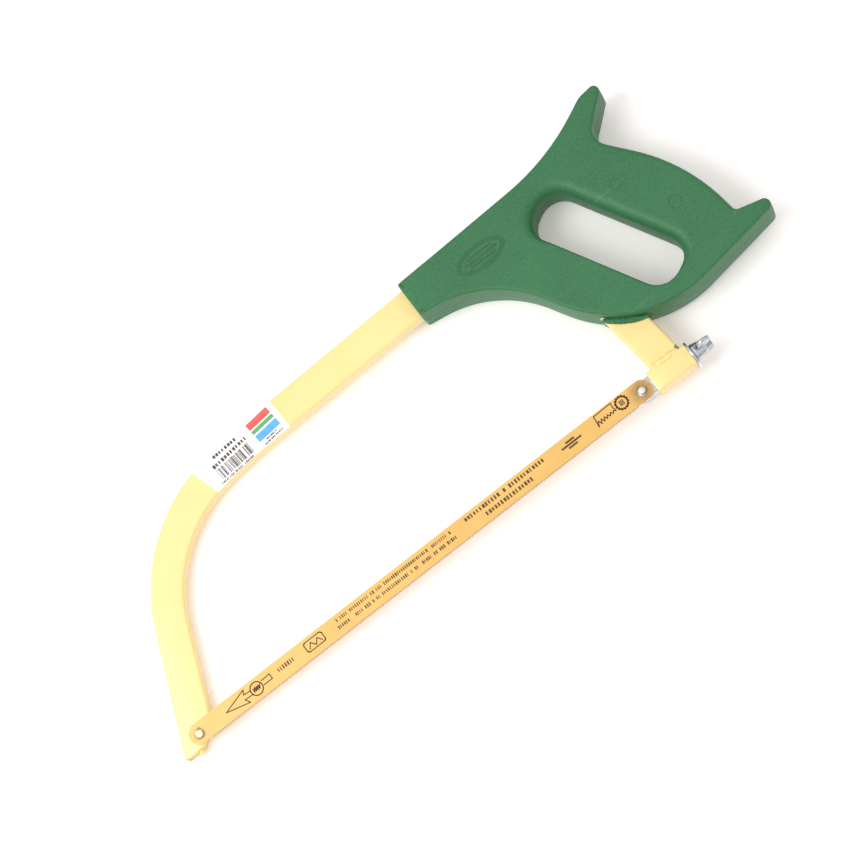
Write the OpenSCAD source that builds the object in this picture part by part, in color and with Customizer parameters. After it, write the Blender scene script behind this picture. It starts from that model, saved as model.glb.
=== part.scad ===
// Tubular-bow hacksaw, lying on its side with its blade fitted.
// +X runs along the blade from the toe to the handle, +Y from the blade to the bow, +Z up through the thickness.
// The parts are drawn on the saw's own datum, the axis of the front blade pin on the tube's mid-plane, and
// saw_place() then moves them so that the origin is under the middle of the whole saw.

/* [Frame tube] */
// Width of the frame tube across its broad face
tube_w = 19; // [17:0.5:19.5]
// Thickness of the frame tube
tube_t = 10; // [9:0.5:10]
// Wall thickness of the frame tube
tube_wall = 1.2; // [0.8:0.1:1.5]
// How far below the blade's middle the toe is cut off
toe_drop = 6.5; // [6:0.1:7]
// How far in front of the front pin the toe's end face stops, where its corner is cut off
toe_face_end = -2.8; // [-3.2:0.1:0]
// Length of the steel plug in the toe
plug_length = 24; // [18:1:30]

/* [Blade] */
// Distance between the blade's hole centres
blade_holes = 300; // [298:1:302]
// Width of the blade to the tips of its teeth
blade_w = 12.7; // [12:0.1:13]
// Thickness of the blade
blade_t = 0.65; // [0.6:0.05:0.8]
// Diameter of the blade's holes
blade_hole_d = 5.2; // [5:0.1:5.4]

/* [Blade pins] */
// Diameter of the two side pins
pin_d = 4.2; // [4:0.1:4.4]
// How far the side pins stand above the tube's face
pin_proud = 2.8; // [2.4:0.1:3]
// Diameter of the peg on the toe's end
peg_d = 3.8; // [3.5:0.1:4]
// How far the peg stands out of the toe
peg_proud = 2.6; // [2:0.1:3]
// Distance of the peg from the front side pin
peg_offset = 5.3; // [5:0.1:6]
// Diameter of the peg's root, which is pressed into the plug
peg_root_d = 3; // [2.6:0.1:3.2]

/* [Tensioner] */
// Outside width of the square sleeve
sleeve_w = 12.7; // [12.5:0.1:13]
// Length of the square sleeve
sleeve_len = 25.4; // [22:0.1:28]
// Width of the square draw bolt
bolt_w = 10; // [9.6:0.1:10]
// Gap between the draw bolt and the sleeve on each side
bolt_gap = 0.15; // [0.1:0.05:0.2]
// Thread diameter of the draw bolt
thread_d = 6; // [5:1:6]
// Outside diameter of the washer
washer_d = 16.5; // [15:0.5:18]
// Thickness of the washer
washer_t = 1.4; // [1:0.1:1.8]
// Distance between the tips of the wing nut's wings
wing_span = 26; // [22:1:27]

/* [Handle] */
// Thickness of the handle, both halves together
handle_t = 28; // [26:1:30]
// Thickness of the handle's skin over its cored pockets
skin = 2.8; // [2.4:0.1:3.2]
// Width of the finger slot
slot_w = 28; // [27:0.5:28]
// Length of the finger slot
slot_len = 86; // [80:1:86]
// Head diameter of the handle screws
screw_head_d = 7.4; // [7:0.1:7.8]

/* [Label] */
// Thickness of the paper label
label_t = 0.12; // [0.1:0.01:0.2]
// Width of the paper label
label_w = 17; // [15:0.5:17]

/* [Hidden] */
$fn = 96;

eps = 0.01;
big = 200;
arc_step = 5;

painted = "#f6dc74";
blade_orange = "#e8b455";
zinc = "#b9bec4";
bright_steel = "#9aa0a6";
moulded_green = "#2f7d4a";
paper = "#f4f4f0";

// Corners of the tube's centreline, each with its bend radius
tube_route = [
    [[-7.2, -13], 0],
    [[39.6, 102.9], 88],
    [[103.7, 113.9], 225],
    [[281.1, 119.7], 38],
    [[316.2, 53.5], 60],
    [[321.75, 0], 0]
];
toe_slant = atan2(102.9 + 13, 39.6 + 7.2);
// The tube's centreline crosses the blade's middle a little in front of the front pin
toe_axis_x = -1.95;

// Corners of the handle's outline, each with the radius that rounds it
handle_corners = [
    [[231.2, 129.3], 1],
    [[337, 133.2], 130],
    [[371.5, 150], 12],
    [[391, 152.2], 3.5],
    [[361.8, 127.1], 10],
    [[395.7, 83.7], 105],
    [[399.6, 45.8], 3],
    [[432, 36.9], 3.9],
    [[318.2, 19.9], 71],
    [[273.2, 100.7], 67],
    [[231.2, 107.3], 1]
];
front_horn = 3;
rear_horn = 7;
slot_middle = [336.5, 77];
slot_slant = -62;
slot_end_r = 12.5;

// Cored pockets of the grip, with a rib left between them
pocket_r = 3;
upper_pocket = [[334, 126], [352, 131], [363, 121], [374, 106], [383, 90], [358.5, 78]];
lower_pocket = [[361, 75.3], [384.5, 86.8], [391, 70], [394.5, 52], [391, 38], [374, 38]];
pockets = [upper_pocket, lower_pocket];

// Screw places: through the tube in the neck, by the front horn, in the grip, and round the slot's two ends
screw_places = [[241.7, 119.7], [305, 121], [355, 129], [377.3, 69.3], [379, 41], [334.5, 37]];
boss_r = 4.6;
pilot_r = 1.6;
screw_clear_r = 2.1;
head_clear = 0.4;
head_t = 2.6;
head_depth = 4;
screw_reach = 10.5;
pilot_depth = 11.2;
drive_r = 1.4;
drive_depth = 1.4;
channel_gap = 0.1;

// The tensioned blade bears on the far side of each pin from the other one
hole_slack = (blade_hole_d - pin_d) / 2 - 0.05;
rear_pin_x = blade_holes + 2 * hole_slack;
blade_lift = 0.1;
sleeve_x = rear_pin_x + 6.9;
sleeve_end = sleeve_x + sleeve_len;
sleeve_corner = 1.2;
shank_back = sleeve_end - 6;
bolt_end = sleeve_end + 13;
washer_bore_r = thread_d / 2 + 0.25;
thread_r = thread_d / 2 - 0.05;
nut_x = sleeve_end + washer_t + 0.1;
hub_len = 8;
hub_r = 5.6;
hub_nose_r = 4.5;
wing_t = 2;
weld_leg = (sleeve_w - tube_t) / 2;
weld_rise = 2.4;
// The label's two ends across the tube, as a point on the centreline and a direction
label_edges = [[[82.3, 109.6], [-0.16, 0.987]], [[137.8, 115], [0.035, -0.999]]];

function unit(v) = v / norm(v);
function corner_half(a, b, c) = acos(unit(a - b) * unit(c - b)) / 2;
function corner_run(a, b, c, r) = r / tan(corner_half(a, b, c));
function corner_middle(a, b, c, r) = b + unit(unit(a - b) + unit(c - b)) * r / sin(corner_half(a, b, c));
function turn_between(s, e) = atan2(cross(s, e), s * e);
function corner_arc(a, b, c, r) =
    let (
        middle = corner_middle(a, b, c, r),
        run = corner_run(a, b, c, r),
        s = b + unit(a - b) * run - middle,
        e = b + unit(c - b) * run - middle,
        turn = turn_between(s, e),
        n = max(3, ceil(abs(turn) / arc_step)),
        start = atan2(s.y, s.x)
    )
    [for (i = [0:n]) middle + r * [cos(start + turn * i / n), sin(start + turn * i / n)]];

// A closed outline whose corners are rounded, each with its own radius
function rounded(corners) =
    let (n = len(corners))
    [for (i = [0:n - 1])
        each corner_arc(corners[(i + n - 1) % n][0], corners[i][0], corners[(i + 1) % n][0], corners[i][1])];
function same_radius(points, r) = [for (p = points) [p, r]];

slot_outline = rounded(same_radius(
    [for (s = [[-1, -1], [1, -1], [1, 1], [-1, 1]])
        let (along = s.x * slot_len / 2, across = s.y * slot_w / 2)
        slot_middle + [along * cos(slot_slant) - across * sin(slot_slant),
                       along * sin(slot_slant) + across * cos(slot_slant)]],
    slot_end_r));

function horn_middle(i) = corner_middle(handle_corners[i - 1][0], handle_corners[i][0],
                                        handle_corners[i + 1][0], handle_corners[i][1]);
toe_tip_x = toe_axis_x - (tube_w / 2) / sin(toe_slant) - toe_drop / tan(toe_slant);
toe_cut_start = [toe_face_end, -toe_drop];
toe_cut_end = [toe_axis_x + (tube_w / 2) / sin(toe_slant) + 5 / tan(toe_slant), 5];
horn_tip_x = horn_middle(rear_horn).x + handle_corners[rear_horn][1];
horn_top_y = horn_middle(front_horn).y + handle_corners[front_horn][1];
saw_middle = [(toe_tip_x + horn_tip_x) / 2, (horn_top_y - toe_drop - peg_proud) / 2];

module saw_place() {
    translate([-saw_middle.x, -saw_middle.y, handle_t / 2]) children();
}

module rounded_bar(w, h, r) {
    square([w - 2 * r, h], center = true);
    square([w, h - 2 * r], center = true);
    for (sx = [-1, 1], sy = [-1, 1])
        translate([sx * (w / 2 - r), sy * (h / 2 - r)]) circle(r);
}

// The route's bend at corner i, moved by side to the left of the way along it
function bend_edge(i, side) =
    let (
        a = tube_route[i - 1][0],
        b = tube_route[i][0],
        c = tube_route[i + 1][0],
        r = tube_route[i][1],
        middle = corner_middle(a, b, c, r)
    )
    [for (p = corner_arc(a, b, c, r)) middle + (p - middle) * (r - sign(cross(b - a, c - b)) * side) / r];
function route_end(i, next, side) =
    let (way = unit(tube_route[next][0] - tube_route[i][0]) * sign(next - i))
    tube_route[i][0] + side * [-way.y, way.x];
function route_edge(side) =
    let (last = len(tube_route) - 1)
    [route_end(0, 1, side), for (i = [1:last - 1]) each bend_edge(i, side), route_end(last, last - 1, side)];
function backwards(list) = [for (i = [len(list) - 1:-1:0]) list[i]];

// The band that the tube covers in plan, so far to each side of its centreline
module route_band(half_width) {
    polygon(concat(route_edge(half_width), backwards(route_edge(-half_width))));
}

module tube_solid(w, t) {
    linear_extrude(t, center = true) route_band(w / 2);
}

module below_toe() {
    translate([-big / 2, -toe_drop - big, -big / 2]) cube([big, big, big]);
}

// The toe's inner corner is cut off under the blade, to leave room for the work
module toe_corner() {
    along = toe_cut_end - toe_cut_start;
    outwards = [along.y, -along.x];
    linear_extrude(big, center = true)
        polygon([toe_cut_start - along, toe_cut_end + along, toe_cut_end + along + outwards,
                 toe_cut_start - along + outwards]);
}

module screw_hole_positions() {
    for (p = screw_places) translate([p.x, p.y, 0]) children();
}

module frame_tube() {
    color(painted) saw_place() difference() {
        tube_solid(tube_w, tube_t);
        tube_solid(tube_w - 2 * tube_wall, tube_t - 2 * tube_wall);
        below_toe();
        toe_corner();
        translate([sleeve_x - big / 2, sleeve_w / 2 - big, -big / 2]) cube([big, big, big]);
        cylinder(h = 2 * tube_t, d = pin_d, center = true);
        translate([screw_places[0].x, screw_places[0].y, 0])
            cylinder(h = 2 * tube_t, r = screw_clear_r, center = true);
    }
}

module toe_plug() {
    color(painted) saw_place() difference() {
        translate([tube_route[0][0].x, tube_route[0][0].y, 0]) rotate([0, 0, toe_slant])
            translate([0, tube_wall - tube_w / 2, tube_wall - tube_t / 2])
                cube([plug_length, tube_w - 2 * tube_wall, tube_t - 2 * tube_wall]);
        below_toe();
        toe_corner();
        cylinder(h = 2 * tube_t, d = pin_d, center = true);
        translate([-peg_offset, 0, 0]) rotate([90, 0, 0]) cylinder(h = big, d = peg_root_d, center = true);
    }
}

module front_blade_pin() {
    color(painted) saw_place()
        translate([0, 0, -tube_t / 2]) cylinder(h = tube_t + pin_proud, d = pin_d);
}

// The second peg of the toe, which carries the blade when it is turned to cut sideways
module toe_peg() {
    color(painted) saw_place() translate([-peg_offset, -toe_drop, 0]) {
        rotate([90, 0, 0]) cylinder(h = peg_proud, d = peg_d);
        rotate([-90, 0, 0]) translate([0, 0, -eps]) cylinder(h = toe_drop + eps, d = peg_root_d);
    }
}

module tension_sleeve() {
    color(painted) saw_place()
        translate([sleeve_x, 0, 0]) rotate([90, 0, 90])
            linear_extrude(sleeve_len) difference() {
                rounded_bar(sleeve_w, sleeve_w, sleeve_corner);
                square(bolt_w + 2 * bolt_gap, center = true);
            }
}

// Fillet weld between the tube's broad face and the sleeve, side +1 near or -1 far
module sleeve_weld(side) {
    color(painted) saw_place()
        translate([sleeve_x + 3.6, sleeve_w / 2, side * tube_t / 2])
            rotate([90, 0, 90])
                linear_extrude(tube_w + 0.8)
                    polygon([[0, 0], [weld_rise, 0], [0, side * (weld_leg - sleeve_corner * 0.3)]]);
}

module weld_near() {
    sleeve_weld(1);
}

module weld_far() {
    sleeve_weld(-1);
}

module draw_bolt() {
    color(zinc) saw_place() difference() {
        union() {
            translate([rear_pin_x, -bolt_w / 2, -bolt_w / 2])
                cube([shank_back - rear_pin_x, bolt_w, bolt_w]);
            translate([rear_pin_x, 0, -bolt_w / 2]) cylinder(h = bolt_w, d = bolt_w);
            translate([shank_back - eps, 0, 0]) rotate([0, 90, 0])
                cylinder(h = bolt_end - shank_back + eps, r = thread_r);
        }
        translate([rear_pin_x, 0, 0]) cylinder(h = 2 * bolt_w, d = pin_d, center = true);
    }
}

module rear_blade_pin() {
    color(bright_steel) saw_place()
        translate([rear_pin_x, 0, -bolt_w / 2]) cylinder(h = (bolt_w + tube_t) / 2 + pin_proud, d = pin_d);
}

module tension_washer() {
    color(zinc) saw_place()
        translate([sleeve_end, 0, 0]) rotate([0, 90, 0]) difference() {
            cylinder(h = washer_t, d = washer_d);
            cylinder(h = 3 * washer_t, r = washer_bore_r, center = true);
        }
}

// One wing as seen along Y: it leaves the hub, flares backwards and ends in a rounded tip
function wing_corners() =
    let (tip = wing_span / 2)
    [[[1, 2.6], 0.4], [[2.2, hub_r + 1], 3], [[5.2, tip + 0.6], 2.4], [[13.6, tip - 0.6], 2.6],
     [[11.2, hub_r + 0.6], 5], [[hub_len - 1, 2.6], 0.4]];

module wing_nut() {
    color(zinc) saw_place() translate([nut_x, 0, 0]) difference() {
        union() {
            rotate([0, 90, 0]) cylinder(h = hub_len, r1 = hub_r, r2 = hub_nose_r);
            for (side = [0, 180])
                rotate([side, 0, 0]) rotate([90, 0, 0])
                    linear_extrude(wing_t, center = true) intersection() {
                        polygon(rounded(wing_corners()));
                        square([big, wing_span / 2]);
                    }
        }
        rotate([0, 90, 0]) cylinder(h = 4 * hub_len, r = thread_d / 2, center = true);
    }
}

module blade() {
    color(blade_orange) saw_place() translate([hole_slack, 0, tube_t / 2 + blade_lift]) difference() {
        union() {
            translate([0, -blade_w / 2, 0]) cube([blade_holes, blade_w, blade_t]);
            for (x = [0, blade_holes]) translate([x, 0, 0]) cylinder(h = blade_t, d = blade_w);
        }
        for (x = [0, blade_holes])
            translate([x, 0, 0]) cylinder(h = 4 * blade_t, d = blade_hole_d, center = true);
    }
}

// What each handle half has cut out of it: slot, tube channel and cored pockets
module handle_half(side) {
    difference() {
        translate([0, 0, side > 0 ? 0 : -handle_t / 2]) linear_extrude(handle_t / 2) difference() {
            polygon(rounded(handle_corners));
            polygon(slot_outline);
        }
        tube_solid(tube_w + 2 * channel_gap, tube_t + 2 * channel_gap);
        difference() {
            for (p = pockets)
                linear_extrude(handle_t - 2 * skin, center = true) polygon(rounded(same_radius(p, pocket_r)));
            screw_hole_positions() cylinder(h = handle_t, r = boss_r, center = true);
        }
    }
}

module handle_near_shell() {
    color(moulded_green) saw_place() difference() {
        handle_half(1);
        screw_hole_positions() cylinder(h = 2 * pilot_depth, r = pilot_r, center = true);
    }
}

module handle_far_shell() {
    color(moulded_green) saw_place() difference() {
        handle_half(-1);
        screw_hole_positions() {
            cylinder(h = 2 * handle_t, r = screw_clear_r, center = true);
            translate([0, 0, -handle_t / 2 - 1]) cylinder(h = head_depth + 1, d = screw_head_d + 2 * head_clear);
        }
    }
}

// Cross-recessed screws, driven from the far side into pilot holes in the near half
module handle_screws() {
    color(bright_steel) saw_place() screw_hole_positions() difference() {
        union() {
            translate([0, 0, head_depth - handle_t / 2 - head_t]) cylinder(h = head_t, d = screw_head_d);
            translate([0, 0, head_depth - handle_t / 2 - eps])
                cylinder(h = handle_t / 2 - head_depth + screw_reach, r = pilot_r);
        }
        translate([0, 0, head_depth - handle_t / 2 - head_t - 1])
            cylinder(h = drive_depth + 1, r = drive_r, $fn = 4);
    }
}

module label() {
    color(paper) saw_place() translate([0, 0, tube_t / 2]) linear_extrude(label_t) intersection() {
        route_band(label_w / 2);
        polygon([for (e = label_edges) each [e[0] + label_w * e[1], e[0] - label_w * e[1]]]);
    }
}

frame_tube();
toe_plug();
front_blade_pin();
toe_peg();
tension_sleeve();
weld_near();
weld_far();
draw_bolt();
rear_blade_pin();
tension_washer();
wing_nut();
blade();
handle_near_shell();
handle_far_shell();
handle_screws();
label();
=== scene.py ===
# %% [markdown]
# # A tubular-bow hacksaw, piece by piece
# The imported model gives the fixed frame: where the pins, the tube and the grip are, in metres.

# %% Load the fixed frame
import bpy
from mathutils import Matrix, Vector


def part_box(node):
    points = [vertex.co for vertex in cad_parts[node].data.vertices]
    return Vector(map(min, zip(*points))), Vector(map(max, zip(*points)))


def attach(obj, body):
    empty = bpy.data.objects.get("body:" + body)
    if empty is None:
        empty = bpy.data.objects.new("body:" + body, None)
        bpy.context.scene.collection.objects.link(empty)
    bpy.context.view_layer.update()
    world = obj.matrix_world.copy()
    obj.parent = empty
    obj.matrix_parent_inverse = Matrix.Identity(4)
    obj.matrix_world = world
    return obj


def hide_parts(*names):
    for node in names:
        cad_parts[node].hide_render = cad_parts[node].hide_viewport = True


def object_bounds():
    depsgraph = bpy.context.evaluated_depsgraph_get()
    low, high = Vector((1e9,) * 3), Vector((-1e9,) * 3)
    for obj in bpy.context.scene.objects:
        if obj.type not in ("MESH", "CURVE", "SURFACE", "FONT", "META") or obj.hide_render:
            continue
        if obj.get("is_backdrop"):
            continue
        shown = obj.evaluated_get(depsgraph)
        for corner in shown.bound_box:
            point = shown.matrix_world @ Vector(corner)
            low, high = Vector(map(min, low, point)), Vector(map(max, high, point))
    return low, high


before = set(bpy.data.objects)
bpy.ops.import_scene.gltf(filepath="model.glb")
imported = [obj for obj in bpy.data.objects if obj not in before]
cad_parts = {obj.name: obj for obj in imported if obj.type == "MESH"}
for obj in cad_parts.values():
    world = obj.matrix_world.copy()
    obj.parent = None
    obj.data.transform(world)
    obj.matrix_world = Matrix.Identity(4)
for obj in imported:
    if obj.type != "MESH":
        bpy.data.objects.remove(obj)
cad_box = [list(corner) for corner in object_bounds()]

import math
import bmesh
import bpy
from mathutils import Matrix, Vector

scene = bpy.context.scene
RECTANGLE = ((-1, -1), (1, -1), (1, 1), (-1, 1))
BOX_FACES = [(3, 2, 1, 0), (4, 5, 6, 7), (0, 1, 5, 4), (1, 2, 6, 5), (2, 3, 7, 6), (3, 0, 4, 7)]
print("frame box, mm:", [[round(v * 1000, 1) for v in corner] for corner in cad_box])

# %% [markdown]
# ## One datum for every piece
# A saw is measured from its front blade pin, because the blade hangs from it. All sizes below are
# millimetres from that pin's axis, on the middle plane of the tube; `at` turns them into places in the
# frame. Doing the conversion in one function keeps every later number readable as a workshop dimension.

# %% The datum
MM = 0.001


def middle_of(node):
    low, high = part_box(node)
    return (low + high) / 2


front_pin = middle_of("front_blade_pin")
DATUM = Vector((front_pin.x, front_pin.y, middle_of("frame_tube").z))


def at(x, y, z=0.0):
    return DATUM + Vector((x, y, z)) * MM


def local(point):
    """A place in the frame, as millimetres from the datum."""
    return (Vector(point) - DATUM) / MM


def node_span(node):
    """A CAD node's lowest and highest corners, in millimetres from the datum."""
    low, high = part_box(node)
    return local(low), local(high)


def node_top(node):
    """How high the top of a node is, in the frame's metres."""
    return node_span(node)[1].z * MM + DATUM.z


tube_low, tube_high = node_span("frame_tube")
grip_low, grip_high = node_span("handle_far_shell")[0], node_span("handle_near_shell")[1]
sleeve_low, sleeve_high = node_span("tension_sleeve")
blade_low, blade_high = node_span("blade")
print("tube", tube_low, tube_high, "grip", grip_low, grip_high)

# %% [markdown]
# ## Camera
# The saw lies on its side and is seen from above, a little from the handle end. A long lens keeps the bow's
# two legs nearly parallel. The camera is turned by giving it its own right and back directions.

# %% Camera
camera = bpy.data.objects.new("view_camera", bpy.data.cameras.new("view_camera"))
scene.collection.objects.link(camera)
view_right = Vector((0.78872, -0.58198, -0.19804))
view_back = Vector((0.04220, -0.27013, 0.96190))
view_up = view_back.cross(view_right)
view_from = at(273.8, -431.36, 1746.13)
view_turn = Matrix((view_right, view_up, view_back)).transposed().to_4x4()
camera.matrix_world = Matrix.Translation(view_from) @ view_turn
camera.data.sensor_width = 36
camera.data.lens = 141.2
camera.data.clip_end = 20
scene.camera = camera
print("camera lens, mm:", round(camera.data.lens, 1))

# %% [markdown]
# ## Floor and light
# The saw rests on the front edge of its grip and on its toe, so the floor is a plane through those two
# places. A product table is lit from all round, and its shadows are pale and faint: here by one wide, soft
# key light from the left, a sky that is brighter overhead than at the horizon, and a white floor that glows
# a little. A small light would make hard black shadows.

# %% Floor
def plain_material(name, colour, roughness):
    material = bpy.data.materials.new(name)
    material.use_nodes = True
    shader = material.node_tree.nodes["Principled BSDF"]
    shader.inputs["Base Color"].default_value = (*colour, 1)
    shader.inputs["Roughness"].default_value = roughness
    return material


middle_x, middle_y, floor_half = 200, 70, 3000
mouth_x = grip_low.x
rise = (tube_low.z - grip_low.z) / (mouth_x - tube_low.x)


def floor_z(x):
    return grip_low.z - 0.05 + (mouth_x - x) * rise


floor_mesh = bpy.data.meshes.new("floor")
floor_corners = [(middle_x + sx * floor_half, middle_y + sy * floor_half) for sx, sy in RECTANGLE]
floor_mesh.from_pydata([at(x, y, floor_z(x)) for x, y in floor_corners], [], [(0, 1, 2, 3)])
floor = bpy.data.objects.new("floor", floor_mesh)
floor_white = plain_material("floor_white", (0.93, 0.925, 0.92), 0.7)
floor_shader = floor_white.node_tree.nodes["Principled BSDF"]
floor_shader.inputs["Emission Color"].default_value = (1.0, 0.90, 0.89, 1)
floor_shader.inputs["Emission Strength"].default_value = 0.19
floor_mesh.materials.append(floor_white)
scene.collection.objects.link(floor)
floor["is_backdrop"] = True
print("floor tilt, degrees:", round(math.degrees(math.atan(rise)), 2))

# %% Lights
saw_middle = at(middle_x, middle_y)


def area_light(name, direction, distance, size, power, colour=(1, 1, 1)):
    light = bpy.data.lights.new(name, "AREA")
    light.shape = "DISK"
    light.size = size
    light.energy = power
    light.color = colour
    lamp = bpy.data.objects.new(name, light)
    scene.collection.objects.link(lamp)
    lamp.location = saw_middle + Vector(direction).normalized() * distance
    lamp.rotation_euler = (saw_middle - lamp.location).to_track_quat("-Z", "Y").to_euler()
    return lamp


to_left = -view_right * 0.72 - view_up * 0.12 + view_back * 1.0
area_light("key_softbox", to_left, 1.6, 0.9, 12.5, (1, 0.995, 0.985))
world = bpy.data.worlds.new("soft_sky")
scene.world = world
world.use_nodes = True
sky = world.node_tree
direction = sky.nodes.new("ShaderNodeTexCoord")
height = sky.nodes.new("ShaderNodeSeparateXYZ")
sky.links.new(direction.outputs["Generated"], height.inputs["Vector"])
brightness = sky.nodes.new("ShaderNodeMapRange")
horizon, overhead = (0.1, 0.5), (0.7, 1.0)
for end, (how_high, strength) in (("Min", horizon), ("Max", overhead)):
    brightness.inputs[f"From {end}"].default_value = how_high
    brightness.inputs[f"To {end}"].default_value = strength
sky.links.new(height.outputs["Z"], brightness.inputs["Value"])
sky.links.new(brightness.outputs["Result"], sky.nodes["Background"].inputs["Strength"])
sky.nodes["Background"].inputs["Color"].default_value = (1.0, 0.958, 0.948, 1)
scene.view_settings.view_transform = "Standard"

# %% [markdown]
# ## Node helpers
# The finishes and the rule-made pieces are both node trees. `add` makes a node, sets its options and fills
# its inputs in one line: a socket given as a value is linked, and anything else is typed in.

# %% Node helpers
def add(tree, kind, inputs=None, **settings):
    node = tree.nodes.new(kind)
    for name, value in settings.items():
        setattr(node, name, value)
    for key, value in (inputs or {}).items():
        if isinstance(value, bpy.types.NodeSocket):
            tree.links.new(value, node.inputs[key])
        else:
            node.inputs[key].default_value = value
    return node


def start_group(name, inputs, outputs):
    """A shader group with number inputs, given as name: default, and outputs, given as name: socket type."""
    group = bpy.data.node_groups.new(name, "ShaderNodeTree")
    for label, value in inputs.items():
        group.interface.new_socket(label, in_out="INPUT", socket_type="NodeSocketFloat").default_value = value
    for label, kind in outputs.items():
        group.interface.new_socket(label, in_out="OUTPUT", socket_type=kind)
    return group, group.nodes.new("NodeGroupInput"), group.nodes.new("NodeGroupOutput")


def use_group(tree, group, **values):
    node = tree.nodes.new("ShaderNodeGroup")
    node.node_tree = group
    for label, value in values.items():
        node.inputs[label.replace("_", " ")].default_value = value
    return node


def remap(tree, value, low, high, to_low=0.0, to_high=1.0):
    """value from low..high to to_low..to_high, held at the ends."""
    return add(tree, "ShaderNodeMapRange", {"Value": value, "From Min": low, "From Max": high,
                                            "To Min": to_low, "To Max": to_high}).outputs["Result"]


def blend_colours(tree, share, one, other):
    """A colour that goes from one to other as share goes from 0 to 1."""
    node = tree.nodes.new("ShaderNodeMix")
    node.data_type = "RGBA"
    for key, value in (("Factor_Float", share), ("A_Color", one), ("B_Color", other)):
        socket = next(s for s in node.inputs if s.identifier == key)
        if isinstance(value, bpy.types.NodeSocket):
            tree.links.new(value, socket)
        elif key == "Factor_Float":
            socket.default_value = value
        else:
            socket.default_value = (*value, 1)
    return next(s for s in node.outputs if s.identifier == "Result_Color")


def maths(tree, operation, *values):
    return add(tree, "ShaderNodeMath", dict(enumerate(values)), operation=operation).outputs[0]


def object_place(tree):
    """Where on the piece, in metres."""
    return add(tree, "ShaderNodeTexCoord").outputs["Object"]


def noise_at(tree, place, scale, detail=2.0, **more):
    """A cloudy pattern, with a scale in lumps to the metre."""
    settings = {"Vector": place, "Scale": scale, "Detail": detail, **more}
    return add(tree, "ShaderNodeTexNoise", settings).outputs["Fac"]


def distance_from(tree, place, spot):
    ends = {0: place, 1: tuple(spot)}
    return add(tree, "ShaderNodeVectorMath", ends, operation="DISTANCE").outputs["Value"]


# %% [markdown]
# ## Shared surface effects
# No real finish is one flat colour. Three effects come back in several finishes here, so each is built once
# as a group: the fine grain that breaks up a highlight, the wear that pales an exposed edge, and the short
# scuffs of a tool that has been in a box. They give out only heights and masks, and each material decides
# what a mask does to it. All read Object coordinates, so they have a real size in metres.

# %% Group: grain and patches
grain_group, given, result = start_group(
    "Surface_grain", {"Grain per metre": 1500.0, "Patches per metre": 40.0, "Stretch": 1.0},
    {"Height": "NodeSocketFloat", "Patches": "NodeSocketFloat"})
place = object_place(grain_group)
stretch = add(grain_group, "ShaderNodeCombineXYZ",
              {"X": given.outputs["Stretch"], "Y": 1.0, "Z": 1.0}).outputs["Vector"]
stretched = add(grain_group, "ShaderNodeVectorMath", {0: place, 1: stretch}, operation="MULTIPLY").outputs[0]
fine = noise_at(grain_group, stretched, given.outputs["Grain per metre"], 3.0)
broad = noise_at(grain_group, place, given.outputs["Patches per metre"], 4.0, Roughness=0.6)
grain_group.links.new(fine, result.inputs["Height"])
grain_group.links.new(remap(grain_group, broad, 0.3, 0.7), result.inputs["Patches"])

# %% Group: edge wear
wear_group, given, result = start_group("Edge_wear", {"Start": 0.52, "End": 0.60},
                                        {"Mask": "NodeSocketFloat"})
crease = add(wear_group, "ShaderNodeNewGeometry").outputs["Pointiness"]
edge = add(wear_group, "ShaderNodeMapRange", {"Value": crease, "From Min": given.outputs["Start"],
                                              "From Max": given.outputs["End"]}).outputs["Result"]
place = object_place(wear_group)
chips = noise_at(wear_group, place, 260.0, 5.0)
wear_group.links.new(maths(wear_group, "MULTIPLY", edge, remap(wear_group, chips, 0.42, 0.62)),
                     result.inputs["Mask"])

# %% Group: scuffs
scuff_group, given, result = start_group(
    "Scuffs", {"Strokes per metre": 90.0, "Amount": 0.5}, {"Mask": "NodeSocketFloat"})
place = object_place(scuff_group)
strokes_mask = None
for turn, lengthening in ((25, 0.34), (-48, 0.26)):
    turned = add(scuff_group, "ShaderNodeMapping",
                 {"Vector": place, "Rotation": (0, 0, math.radians(turn)), "Scale": (lengthening, 5.0, 1.0)})
    streaks = noise_at(scuff_group, turned.outputs["Vector"], given.outputs["Strokes per metre"])
    line = remap(scuff_group, streaks, 0.68, 0.74)
    strokes_mask = line if strokes_mask is None else maths(scuff_group, "MAXIMUM", strokes_mask, line)
where = noise_at(scuff_group, place, 22.0)
scuffed = maths(scuff_group, "MULTIPLY", strokes_mask, remap(scuff_group, where, 0.52, 0.66))
scuff_group.links.new(maths(scuff_group, "MULTIPLY", scuffed, given.outputs["Amount"]), result.inputs["Mask"])
print("shader groups:", [g.name for g in (grain_group, wear_group, scuff_group)])

# %% [markdown]
# ## Finishes
# `finish` starts a material with the grain group placed in it and the bump wired up; each finish below then
# adds wear, scuffs and whatever else is its own. Constants such as the coat are typed on the shader's own
# sockets.

# %% Finish helper
def finish(name, grain, patches, bump_mm, bump_strength=1.0, stretch=1.0, **constants):
    material = bpy.data.materials.new(name)
    material.use_nodes = True
    tree = material.node_tree
    shader = tree.nodes["Principled BSDF"]
    for label, value in constants.items():
        shader.inputs[label.replace("_", " ")].default_value = value
    surface = use_group(tree, grain_group, Grain_per_metre=grain, Patches_per_metre=patches, Stretch=stretch)
    bump = add(tree, "ShaderNodeBump", {"Height": surface.outputs["Height"], "Distance": bump_mm * MM,
                                        "Strength": bump_strength})
    tree.links.new(bump.outputs["Normal"], shader.inputs["Normal"])
    return material, tree, shader, surface
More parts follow.
